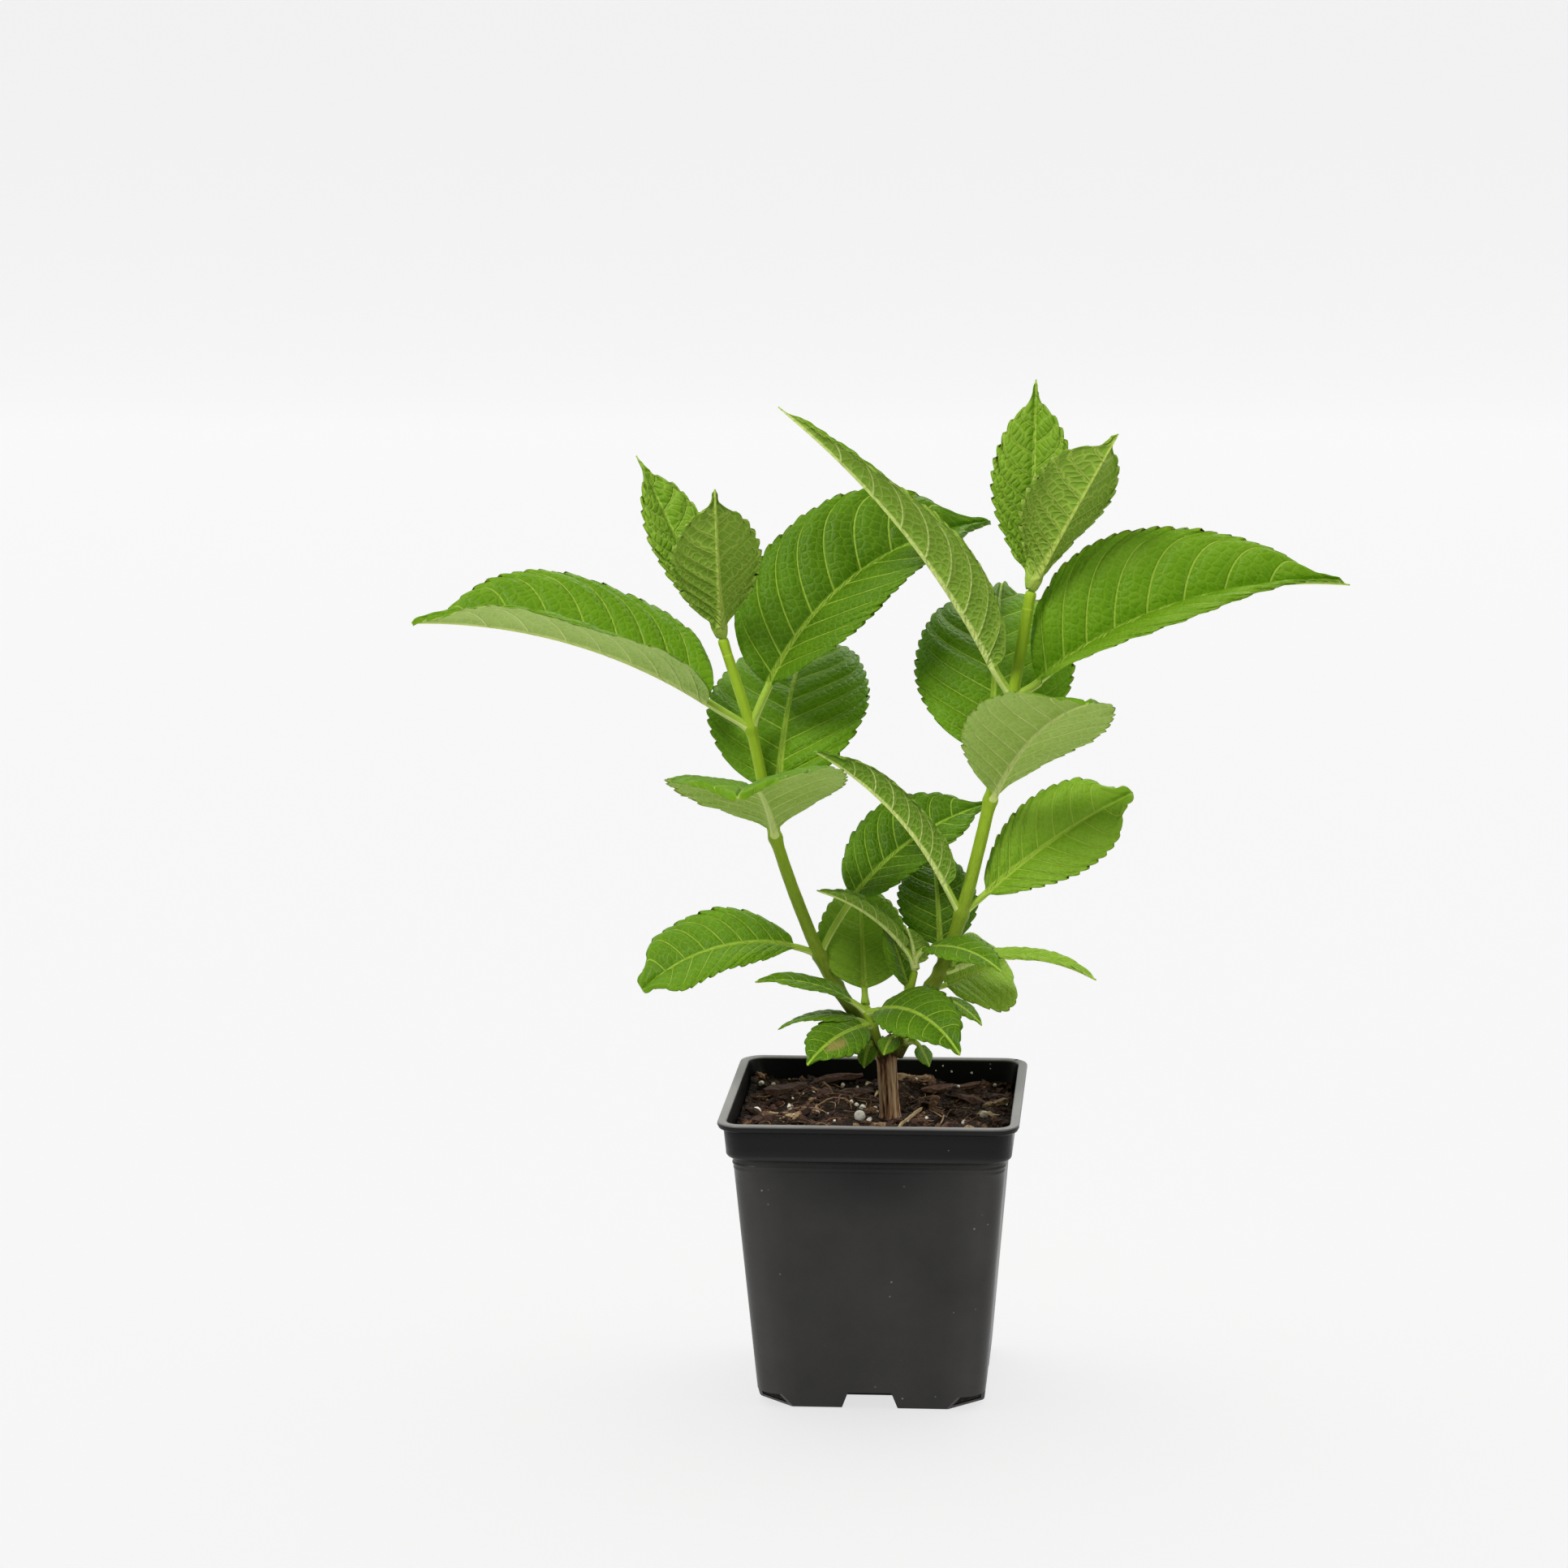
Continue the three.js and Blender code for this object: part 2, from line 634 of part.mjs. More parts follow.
// Everything that grows from a limb is cut clear of it by a sleeve a little thicker than the limb
const stemSleeve = woodyStem(CLEAR);
const shootSleeves = Object.values(SHOOTS).map((shoot) => limb(shoot, CLEAR));
const allSleeves = shootSleeves.reduce((all, next) => all.add(next), stemSleeve);

for (const [side, shoot] of Object.entries(SHOOTS)) {
  addPiece(hydrangea, `${side}_shoot`, "shoot", limb(shoot).subtract(stemSleeve));
  addPiece(hydrangea, `${side}_shoot_tip`, "young", shootTip(shoot));
  const nodes = nodesOf(shoot);
  const sleeve = limb(shoot, CLEAR);
  for (const [pair, leaves] of Object.entries(shoot.pairs)) {
    const base = nodes[Number(pair) + 1];
    for (const [place, spec] of Object.entries(leaves)) {
      addPiece(hydrangea, `${side}_leaf_${pair}_${place}`, "leaf", leaf(base, spec).subtract(sleeve));
    }
  }
}
for (const [name, spec] of Object.entries(SPROUTS)) {
  addPiece(hydrangea, name, "leaf", sprout(spec).subtract(allSleeves));
}

export default hydrangea;
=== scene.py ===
"""A young garden hydrangea in a square nursery pot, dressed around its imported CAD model.

Sizes are worked out in millimetres, in the model's frame: +X right, +Y to the back, +Z up, with the
origin in the middle of the pot's flat underside. They are turned to metres when a mesh is made.
"""

import bpy
import numpy as np
from mathutils import Matrix


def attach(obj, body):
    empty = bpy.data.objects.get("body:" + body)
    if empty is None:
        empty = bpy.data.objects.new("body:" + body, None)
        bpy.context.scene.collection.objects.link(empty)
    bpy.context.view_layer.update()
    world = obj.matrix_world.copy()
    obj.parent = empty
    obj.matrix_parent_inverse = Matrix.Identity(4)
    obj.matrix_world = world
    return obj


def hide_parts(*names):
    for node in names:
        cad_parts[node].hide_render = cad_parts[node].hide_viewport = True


bl_info = {
    "name": "Potted young hydrangea",
    "version": (1, 0, 0),
    "blender": (4, 5, 0),
    "location": "3D View > Sidebar > Hydrangea",
    "description": "Leaves, shoots, bark, compost and nursery pot grown around the packed model",
    "category": "Add Mesh",
}

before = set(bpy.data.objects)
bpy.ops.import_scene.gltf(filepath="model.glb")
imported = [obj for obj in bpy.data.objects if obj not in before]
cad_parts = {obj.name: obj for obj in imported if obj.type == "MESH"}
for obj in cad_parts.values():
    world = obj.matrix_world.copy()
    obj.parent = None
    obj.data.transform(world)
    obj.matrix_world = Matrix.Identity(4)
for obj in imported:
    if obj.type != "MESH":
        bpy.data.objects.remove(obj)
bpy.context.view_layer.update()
BODY = "root"
MM = 0.001

# Pot, as in the CAD source: widths and heights of the moulding
POT_WALL = 1.2
POT_HEIGHT = 100
FOOT_WIDTH = 76
SHOULDER_WIDTH = 91
SHOULDER_Z = 87
BAND_WIDTH = 95
BAND_TOP_WIDTH = 96
LIP_WIDTH = 100
FOOT_CORNER = 9
RIM_CORNER = 7
NOTCH_WIDTH = 19
NOTCH_HEIGHT = 5.6
NOTCH_REACH = 15
NOTCH_DRAFT = 2.2
CORNER_HEIGHT = 4.6
CORNER_LEG = 5.5
CORNER_SHELF = 2
OVERCUT = 6
CLEAR = 0.3

# Compost, as in the CAD source
SOIL_LEVEL = 91
STEM_PATCH = 10
STEM_PATCH_EDGE = 8
SOIL_MOUND = 1.2
SOIL_SLOPE = 0.015
SOIL_WAVES = ((0.9, 9.1, 7.7, 1.3), (0.6, 4.3, -5.9, 0), (0.4, 3.1, 2.7, 2.4))
# Finer lumps, for the looks alone: height, size, octaves and seed of each noise
SOIL_LUMPS = ((1.7, 6.5, 3, 3), (0.7, 1.6, 2, 8))
# How deep a hollow can be, in the open and at the walls, which begin 42 to 45 mm from the middle
HOLLOW_DEPTH = 4.0
HOLLOW_DEPTH_AT_WALL = 1.5
WALL_FROM = 42
WALL_TO = 45
# How far from the middle the ends of chips and straws may lie
LITTER_REACH = 44
STRAWS = 190
COARSE_UP_TO = 50
GRAINS = 70
# How far litter keeps from the middle of the stem and of the bead in front of it
CHIP_FROM_STEM = 3.9
CHIP_FROM_BEAD = 2.6
STRAW_FROM_STEM = 9
GRAIN_FROM_STEM = 5

# Woody stem, as in the CAD source
STEM_X = 5
STEM_Y = 0
STEM_HEIGHT = 27
STEM_RADIUS = 3.2
STUB_RADIUS = 3
STEM_FLARE = 1.5
STEM_FLARE_HEIGHT = 5
STEM_LEAN = 1.6
STUB_SLANT = 1.6
STEM_SEAT = 2.5
# Rings of scar round the stub: height, half width and how far they stand out
STEM_COLLARS = ((21.5, 1.6, 0.5), (25, 1, 0.35))

# Shoots and leaves, by the rule of the CAD source
NODE_SWELL = 0.5
NODE_SPREAD = 2.2
TIP_STEM = 6
TIP_LAP = 3
BUD_LENGTH = 7
BUD_RADIUS = 1.6
BLADE_BASE_POWER = 0.66
BLADE_TIP_POWER = 0.95
RIB_AT_BASE = 0.8
RIB_PER_LENGTH = 0.006
RIB_AT_TIP = 0.25
RIB_TAPER = 0.7
STALK_TO_BLADE = 3
WING_CURL = 0.16
# Where a blade runs in to its slender point, and over how much of its length
TIP_NARROWS_AT = 0.92
TIP_NARROWS_OVER = 0.075
# The margin has no teeth before and after these spans of its length, in which they grow and shrink
TEETH_BEGIN = (0.08, 0.2)
TEETH_END = (0.94, 0.995)
TOOTH_HOLLOW = 2.1
# Radii of a side vein at the midrib and at the margin, on a leaf of 100 mm
VEIN_RADII = (0.36, 0.15)
# How far a margin waves slowly, waves with its teeth and curls down, as shares of the blade's width
SWAY = 0.022
FLUTTER = 0.004
MARGIN_CURL = 0.05
# Leaves longer than this are grown leaves, on a finer grid
LONG_LEAF = 45
# Leaves shorter than this are scale leaves, with hardly any teeth
SCALE_LENGTH = 12
ROWS_PER_TOOTH = 6
# A row meets the midrib at its margin's share of the length to this power
ROW_BEND = 2.3
# How far along its row a point lies, by its share of the way out and that to the powers 2 and 6
ROW_REACH = (0.52, 0.2, 0.28)
# Side veins are even in the share of the length to this power, from the first on and over this span
VEIN_EVEN = 1.5
FIRST_VEIN = 0.07
VEIN_SPAN = 0.86
# How far a rung's own line leans back from square to the midrib: the side veins lean forward as far
RUNG_LEAN = 0.9


def leaf_spec(bearing, stalk, blade, arch, fold, roll, **more):
    """One leaf's sizes and angles. stalk: length and rise. blade: length and width. arch: the rise at
    the blade's base and how far it has bent down by the tip. more: how narrow it runs out at its tip
    and at its root, and the node where it springs."""
    sizes = dict(bearing=bearing, stalk=stalk, blade=blade, arch=arch, fold=fold, roll=roll)
    return sizes | dict(tip=BLADE_TIP_POWER, root=BLADE_BASE_POWER, node=0) | more


# The same shoots, leaves and sprouts as in the CAD source. An internode is length, bearing and rise.
SHOOTS = {
    "left": dict(
        foot=(3, -0.5, 113),
        radii=(2.3, 1.7),
        internodes=((28, 172, 54), (12, 170, 61), (43, 180, 70), (38, 166, 77), (26, 166, 72)),
        leaves={
            "1_left": leaf_spec(187, (9, 27), (56, 37), (14, 60), 20, -28, tip=0.5, root=0.75, node=2),
            "1_right": leaf_spec(24, (23, 64), (58, 37), (50, 40), 26, 28, node=2),
            "2_front": leaf_spec(266, (5, 38), (80, 62), (42, 47), 17, 5, tip=0.8, root=0.9, node=3),
            "2_back": leaf_spec(83, (16, 72), (80, 56), (70, 74), 14, 0, node=3),
            "3_left": leaf_spec(187, (17, 31), (104, 62), (33, 34), 44, -12, node=4),
            "3_right": leaf_spec(28, (16, 66), (101, 63), (62, 62), 34, 30, node=4),
        },
        young=(
            leaf_spec(152, (4, 66), (64, 27), (60, 0), 24, -24, tip=1.25, root=1.05),
            leaf_spec(272, (4, 66), (57, 33), (54, -14), 24, 12, tip=1.15, root=1),
        ),
    ),
    "right": dict(
        foot=(7, -1.5, 113),
        radii=(2.4, 1.8),
        internodes=((27, 350, 63), (7, 343, 60), (20, 22, 69), (40, 6, 76), (36, 8, 78), (30, 15, 80)),
        leaves={
            "0_low": leaf_spec(330, (6, -50), (17, 10), (-12, 30), 10, 0, node=1),
            "0_right": leaf_spec(36, (6, -12), (25, 35), (14, 6), 10, 40, tip=0.45, root=0.6, node=1),
            "1_front": leaf_spec(339, (5, -6), (53, 14), (27, 52), 20, 4, node=2),
            "1_back": leaf_spec(98, (9, 60), (40, 27), (64, 40), 10, 0, node=2),
            "2_left": leaf_spec(193, (11, 60), (66, 24), (64, 34), 50, 6, node=3),
            "2_right": leaf_spec(13, (11, 38), (60, 34), (41, 16), 20, 54, tip=0.65, root=0.85, node=3),
            "3_front": leaf_spec(303, (4, 20), (71, 52), (52, 36), 20, -12, tip=0.8, root=0.95, node=4),
            "3_back": leaf_spec(89, (16, 64), (84, 55), (64, 54), 14, 0, node=4),
            "4_left": leaf_spec(191, (12, 50), (114, 46), (63, 24), 36, 8, tip=1.5, node=5),
            "4_right": leaf_spec(6, (10, 16), (111, 65), (40, 46), 44, 36, tip=1.4, root=0.8, node=5),
        },
        young=(
            leaf_spec(88, (4, 78), (67, 30), (72, 0), 26, -4, tip=1.2, root=1.1),
            leaf_spec(330, (4, 66), (59, 39), (58, 0), 34, -30, tip=1.15, root=1.15),
        ),
    ),
}
SPROUTS = {
    "front_sprout": dict(
        foot=(3, -2, 113),
        radii=(1.5, 1.1),
        internodes=((12, 228, 64), (5, 170, 68), (3, 120, 58)),
        leaves=(
            leaf_spec(98, (6, 50), (42, 31), (58, 10), 12, 0, node=3),
            leaf_spec(191, (7, 42), (34, 17), (33, 40), 14, -6, node=2),
            leaf_spec(175, (6, 26), (28, 14), (16, 50), 8, 0, node=1),
            leaf_spec(226, (4, 24), (28, 20), (0, 40), 8, -20, node=1),
            leaf_spec(317, (6, 18), (42, 25), (20, 66), 14, 26, node=2),
        ),
    ),
    "middle_sprout": dict(
        foot=(6, -3, 114),
        radii=(1.5, 1.1),
        internodes=((22, 332, 73), (9, 0, 76)),
        leaves=(
            leaf_spec(192, (8, 76), (37, 14), (53, 36), 46, 0, node=2),
            leaf_spec(322, (10, 98), (34, 19), (18, 48), 12, 10, node=2),
            leaf_spec(250, (2, 70), (15, 12), (84, 40), 14, 0, node=2),
            leaf_spec(150, (3, 70), (26, 15), (72, 10), 14, 0, node=1),
        ),
    ),
    "left_sprig": dict(
        foot=(4, -1, 109),
        radii=(0.9, 0.7),
        internodes=((10.2, 191, 55),),
        leaves=(leaf_spec(250, (1.5, -20), (8, 6), (-50, 20), 8, 0, node=1),),
    ),
    "right_sprig": dict(
        foot=(9.8, -3.4, 116.8),
        radii=(0.9, 0.8),
        internodes=((4.5, 290, 25),),
        leaves=(
            leaf_spec(225, (9, 88), (7, 10), (-40, 30), 8, 0, node=1),
            leaf_spec(332, (5, 38), (8, 9), (-50, 20), 8, 0, node=1),
        ),
    ),
}

# Large primes that scatter the whole numbers of a lattice's corners into random bits
NOISE_PRIMES = (73856093, 19349663, 83492791)
# Sockets of Blender's Mix node when it mixes colours
MIX_FACTOR = 0
MIX_A = 6
MIX_B = 7
MIX_RESULT = 2


def linear(hex_colour):
    """sRGB hex to linear RGBA: each channel by the sRGB curve, alpha 1."""
    channels = np.array([int(hex_colour[i : i + 2], 16) for i in (1, 3, 5)]) / 255
    low = channels / 12.92
    high = ((channels + 0.055) / 1.055) ** 2.4
    return (*np.where(channels <= 0.04045, low, high).tolist(), 1.0)


def lerp(a, b, share):
    """a plus a share of the way to b."""
    return a + (b - a) * share


def smooth(x, low, high):
    """0 below low, 1 above high, and 3s squared minus 2s cubed between."""
    share = np.clip((x - low) / (high - low), 0, 1)
    return share * share * (3 - 2 * share)


def bell(x, wide):
    """A bell curve, 1 in its middle: e to minus the square of x over its half width."""
    return np.exp(-((x / wide) ** 2))


def full_turn(count):
    """Angles evenly round a circle, in radians."""
    return np.arange(count) / count * 2 * np.pi


def points_of(*parts):
    """Arrays of x, y and z, spread to one shape, as one array of points."""
    return np.stack(np.broadcast_arrays(*parts), -1)


def heading(bearing, rise):
    """Unit vectors from a bearing round +Z, from +X towards +Y, and a rise above level, in degrees."""
    b, r = np.radians(bearing), np.radians(rise)
    return points_of(np.cos(r) * np.cos(b), np.cos(r) * np.sin(b), np.sin(r))


def level_way(angle):
    """Unit vectors in the XY plane at angles from +X, in radians."""
    return np.stack([np.cos(angle), np.sin(angle)], -1)


def turned(vectors, axes, degrees):
    """Vectors turned about unit axes: v cos + (axis x v) sin + axis (axis . v)(1 - cos)."""
    angle = np.radians(degrees)[..., None]
    along = (vectors * axes).sum(-1, keepdims=True)
    return (
        vectors * np.cos(angle)
        + np.cross(axes, vectors) * np.sin(angle)
        + axes * along * (1 - np.cos(angle))
    )


def about_z(angle):
    """The matrix of a turn about +Z, in radians."""
    return np.array(
        [[np.cos(angle), -np.sin(angle), 0], [np.sin(angle), np.cos(angle), 0], [0, 0, 1]]
    )


def about_y(angle):
    """The matrix of a turn about +Y, in radians."""
    return np.array(
        [[np.cos(angle), 0, np.sin(angle)], [0, 1, 0], [-np.sin(angle), 0, np.cos(angle)]]
    )


def unit(vectors):
    """Vectors divided by their lengths."""
    return vectors / np.linalg.norm(vectors, axis=-1, keepdims=True)


def noise(points, size, seed=0):
    """Smooth noise from -1 to 1: a random value at each corner of a lattice of the given cell size,
    carried between the corners by 3s squared minus 2s cubed along each axis."""
    cell = np.asarray(points, float) / size + 1000 + seed * 17.31
    corner = np.floor(cell).astype(np.int64)
    share = cell - corner
    share = share * share * (3 - 2 * share)
    total = np.zeros(cell.shape[:-1])
    for far in np.ndindex(2, 2, 2):
        i, j, k = ((corner[..., axis] + far[axis]) * NOISE_PRIMES[axis] for axis in range(3))
        bits = (i ^ j ^ k) & 0xFFFFFFF
        bits = (bits ^ (bits >> 13)) * 12741261 & 0x7FFFFFFF
        value = ((bits ^ (bits >> 16)) & 0xFFFF) / 32767.5 - 1
        near_x, near_y, near_z = (
            share[..., axis] if far[axis] else 1 - share[..., axis] for axis in range(3)
        )
        total += value * (near_x * near_y * near_z)
    return total


def rough_noise(points, size, octaves=3, seed=0):
    """Noise plus finer noise, each octave half the size and half the height of the last."""
    return sum(noise(points, size / 2**k, seed + k) / 2**k for k in range(octaves))


def closed_shell(rings, values=None, slots=0):
    """A closed shell over a stack of rings, an array (rows, columns, 3) whose rings run
    counter-clockwise about the way the stack goes. A middle point closes each end. values: name to
    an array (rows, columns) or (rows, columns, 3). slots: a material slot for each column, or one."""
    rows, columns = rings.shape[:2]
    points = np.concatenate([rings.reshape(-1, 3), rings[0].mean(0)[None], rings[-1].mean(0)[None]])
    k = np.arange(columns)
    after = (k + 1) % columns
    start = np.arange(rows - 1)[:, None] * columns
    quads = np.stack(
        [start + k, start + after, start + columns + after, start + columns + k], -1
    ).reshape(-1, 4)
    end = (rows - 1) * columns
    first = rows * columns
    low_cap = np.stack([np.full(columns, first), after, k], -1)
    high_cap = np.stack([np.full(columns, first + 1), end + k, end + after], -1)
    column_slots = np.broadcast_to(slots, columns)
    kept = {}
    for name, value in (values or {}).items():
        flat = value.reshape(rows * columns, -1)
        kept[name] = np.concatenate([flat, flat[:1], flat[-1:]])
    return dict(
        points=points,
        quads=quads,
        tris=np.concatenate([low_cap, high_cap]),
        quad_slots=np.tile(column_slots, rows - 1),
        tri_slots=np.concatenate([column_slots, column_slots]),
        values=kept,
    )


def joined(shells):
    """Several shells as one, each with its points counted on from the last."""
    starts = np.cumsum([0] + [len(s["points"]) for s in shells[:-1]])
    names = shells[0]["values"]
    return dict(
        points=np.concatenate([s["points"] for s in shells]),
        quads=np.concatenate([s["quads"] + n for s, n in zip(shells, starts)]),
        tris=np.concatenate([s["tris"] + n for s, n in zip(shells, starts)]),
        quad_slots=np.concatenate([s["quad_slots"] for s in shells]),
        tri_slots=np.concatenate([s["tri_slots"] for s in shells]),
        values={name: np.concatenate([s["values"][name] for s in shells]) for name in names},
    )


def put_in(name, shell, materials, smooth_shading=True):
    """A Blender object at the origin from a shell in millimetres, with its values as attributes."""
    mesh = bpy.data.meshes.new(name)
    mesh.vertices.add(len(shell["points"]))
    mesh.vertices.foreach_set("co", (shell["points"] * MM).astype(np.float32).ravel())
    corners = np.concatenate([shell["quads"].ravel(), shell["tris"].ravel()])
    sizes = np.repeat([4, 3], [len(shell["quads"]), len(shell["tris"])])
    mesh.loops.add(len(corners))
    mesh.loops.foreach_set("vertex_index", corners.astype(np.int32))
    mesh.polygons.add(len(sizes))
    mesh.polygons.foreach_set("loop_start", (np.cumsum(sizes) - sizes).astype(np.int32))
    mesh.update(calc_edges=True)
    slots = np.concatenate([shell["quad_slots"], shell["tri_slots"]]).astype(np.int32)
    mesh.polygons.foreach_set("material_index", slots)
    mesh.polygons.foreach_set("use_smooth", np.full(len(sizes), smooth_shading))
    for key, value in shell["values"].items():
        kind = "FLOAT_VECTOR" if value.shape[1] == 3 else "FLOAT"
        attribute = mesh.attributes.new(key, kind, "POINT")
        field = "vector" if kind == "FLOAT_VECTOR" else "value"
        attribute.data.foreach_set(field, value.astype(np.float32).ravel())
    mesh.validate()
    for material in materials:
        mesh.materials.append(material)
    piece = bpy.data.objects.new(name, mesh)
    bpy.context.scene.collection.objects.link(piece)
    return piece


def keep(piece, node):
    """The piece rides on the plant's one body and stands for a CAD node."""
    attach(piece, BODY)
    if node:
        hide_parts(node)


def add(tree, kind, inputs=None, stops=None, **settings):
    """Adds a shader node. settings go on the node. inputs maps a socket to a value, to another
    node's output, or to a node whose first output is meant. stops are a colour ramp's pairs of a
    place and a hex colour."""
    node = tree.nodes.new("ShaderNode" + kind)
    for key, value in settings.items():
        setattr(node, key, value)
    for key, value in (inputs or {}).items():
        if isinstance(value, bpy.types.Node):
            value = value.outputs[0]
        if isinstance(value, bpy.types.NodeSocket):
            tree.links.new(value, node.inputs[key])
        else:
            node.inputs[key].default_value = value
    if stops:
        elements = node.color_ramp.elements
        while len(elements) < len(stops):
            elements.new(1)
        for element, (place, colour) in zip(elements, stops):
            element.position = place
            element.color = linear(colour)
    return node


def finish(name, surface, *more):
    """The material of a name, made once. Its Principled node's sockets come as a dict from the
    function of the finish, surface(tree, ...)."""
    material = bpy.data.materials.get(name)
    if material:
        return material
    material = bpy.data.materials.new(name)
    material.use_nodes = True
    tree = material.node_tree
    tree.nodes.clear()
    shader = add(tree, "BsdfPrincipled", surface(tree, *more))
    add(tree, "OutputMaterial", {"Surface": shader})
    return material


def toned(tree, pattern, share, attribute, stops, less=0):
    """A colour ramp read at share times a pattern, plus one of the mesh's own values, less some."""
    own = add(tree, "Attribute", attribute_name=attribute).outputs["Fac"]
    level = add(tree, "Math", {0: pattern, 1: share, 2: own}, operation="MULTIPLY_ADD")
    if less:
        level = add(tree, "Math", {0: level, 1: less}, operation="SUBTRACT")
    return add(tree, "ValToRGB", {"Fac": level}, stops=stops)


def mixed(tree, share, under, over):
    """Colour under with a share of the hex colour over laid on it."""
    sockets = {MIX_FACTOR: share, MIX_A: under, MIX_B: linear(over)}
    return add(tree, "Mix", sockets, data_type="RGBA").outputs[MIX_RESULT]


def leaf_surface(tree, ramp, vein_colour, vein_share, roughness, relief, rungs):
    """A hydrangea leaf's skin. The mesh gives each point's place between two side veins, how many
    vein widths lie between those, how far the midrib is, and its place on the rungs of fine veins.
    relief: how far veins stand proud, or lie sunken if negative. rungs: how wide a fine vein is, as a
    share of their spacing, how much of the vein's colour it has, and cells between side veins."""
    rung_line, rung_share, cells_between = rungs
    field = add(tree, "Attribute", attribute_name="veins").outputs["Vector"]
    panel = add(tree, "Attribute", attribute_name="panel").outputs["Fac"]
    spot = add(tree, "Attribute", attribute_name="spot").outputs["Fac"]
    place = add(tree, "TexCoord").outputs["Object"]
    apart = add(tree, "SeparateXYZ", {"Vector": field}).outputs
    eased = dict(interpolation_type="SMOOTHSTEP")
    off = add(tree, "Math", {0: apart["X"], 1: 0.5}, operation="PINGPONG")
    widths = add(tree, "Math", {0: off, 1: panel}, operation="MULTIPLY")
    near = {"Value": widths, "From Min": 0.4, "From Max": 1.7, "To Min": 1, "To Max": 0}
    side = add(tree, "MapRange", near, **eased)
    near = {"Value": apart["Y"], "From Min": 0.7, "From Max": 1.4, "To Min": 1, "To Max": 0}
    middle = add(tree, "MapRange", near, **eased)
    # Fine veins bound cells, one rung apart along a side vein, and wander by half a cell over some
    # 6 mm. Few cells between two side veins make a ladder, more of them a net.
    wander = add(tree, "TexNoise", {"Vector": place, "Scale": 165, "Detail": 1})
    bent = add(tree, "Math", {0: wander, 1: 1.0, 2: apart["Z"]}, operation="MULTIPLY_ADD")
    cell_across = add(tree, "Math", {0: apart["X"], 1: cells_between}, operation="MULTIPLY")
    leaf_place = add(tree, "CombineXYZ", {"X": bent, "Y": cell_across})
    cell = {"Vector": leaf_place, "Scale": 1, "Randomness": 0.6}
    rung = add(tree, "TexVoronoi", cell, feature="DISTANCE_TO_EDGE", voronoi_dimensions="2D")
    near = {"Value": rung, "From Min": 0.01, "From Max": rung_line, "To Min": rung_share, "To Max": 0}
    fine = add(tree, "MapRange", near, **eased)
    pillow = add(tree, "MapRange", {"Value": rung, "From Max": 0.36, "To Max": 0.6}, **eased)
    side_share = add(tree, "Math", {0: side, 1: vein_share}, operation="MULTIPLY")
    midrib = add(tree, "Math", {0: middle, 1: 0.92}, operation="MULTIPLY")
    both = add(tree, "Math", {0: side_share, 1: midrib}, operation="MAXIMUM")
    amount = add(tree, "Math", {0: both, 1: fine}, operation="MAXIMUM")
    patches = add(tree, "TexNoise", {"Vector": place, "Scale": 90, "Detail": 3})
    green = toned(tree, patches, 0.3, "shade", ramp, less=0.15)
    veined = mixed(tree, amount, green, vein_colour)
    # The finest mesh of veins, about a millimetre across, and the skin's grain inside it
    net = add(tree, "TexVoronoi", {"Vector": place, "Scale": 780}, feature="DISTANCE_TO_EDGE")
    cells = add(tree, "MapRange", {"Value": net, "From Max": 0.3, "To Min": 0, "To Max": 0.22})
    grain = add(tree, "TexNoise", {"Vector": place, "Scale": 1600, "Detail": 2})
    ribbed = add(tree, "Math", {0: side, 1: pillow}, operation="SUBTRACT")
    rise = add(tree, "Math", {0: ribbed, 1: relief, 2: cells}, operation="MULTIPLY_ADD")
    height = add(tree, "Math", {0: grain, 1: 0.3, 2: rise}, operation="MULTIPLY_ADD")
    dull, shiny = roughness + 0.07, roughness - 0.05
    waxy = {"Value": patches, "From Min": 0.3, "From Max": 0.7, "To Min": shiny, "To Max": dull}
    return {
        "Base Color": mixed(tree, spot, veined, "#a58a55"),
        "Roughness": add(tree, "MapRange", waxy),
        "Normal": add(tree, "Bump", {"Height": height, "Strength": 0.7, "Distance": 0.0004}),
        "IOR": 1.42,
        "Specular IOR Level": 0.14,
        "Subsurface Weight": 0.12,
        "Subsurface Radius": (0.5, 1.0, 0.1),
        "Subsurface Scale": 0.001,
    }


UPPER_GREENS = ((0.0, "#365305"), (0.35, "#4c730a"), (0.65, "#679212"), (1.0, "#8bae35"))
UNDER_GREENS = ((0.0, "#5f8518"), (0.35, "#75972d"), (0.65, "#8aaa3a"), (1.0, "#aec76c"))
# Each skin's greens, vein colour, share of it in the side veins, roughness, relief and fine veins
GROWN_SKINS = {
    # Upper side: waxy, it shines softly, mid green with paler, sunken veins
    "Leaf blade waxy upper skin": (UPPER_GREENS, "#a3c044", 0.82, 0.42, -1.0, (0.11, 0.16, 3.4)),
    # Underside: unwaxed and matt, pale green, with raised yellow-green veins
    "Leaf blade matt underside": (UNDER_GREENS, "#d3e286", 0.8, 0.6, 1.3, (0.12, 0.2, 3.4)),
}
YOUNG_SKINS = {
    # Upper side: not yet spread flat, so its skin is puckered hard between the fine veins; thin and
    # softly shining, a fresh yellow-green
    "Young leaf puckered upper skin": (UPPER_GREENS, "#a9c650", 0.7, 0.4, -1.8, (0.16, 0.35, 1.5)),
    # Underside: the same puckers pushed outwards between pale, downy fine veins
    "Young leaf downy underside": (UNDER_GREENS, "#b4c75c", 0.75, 0.5, 1.8, (0.16, 0.4, 1.5)),
}


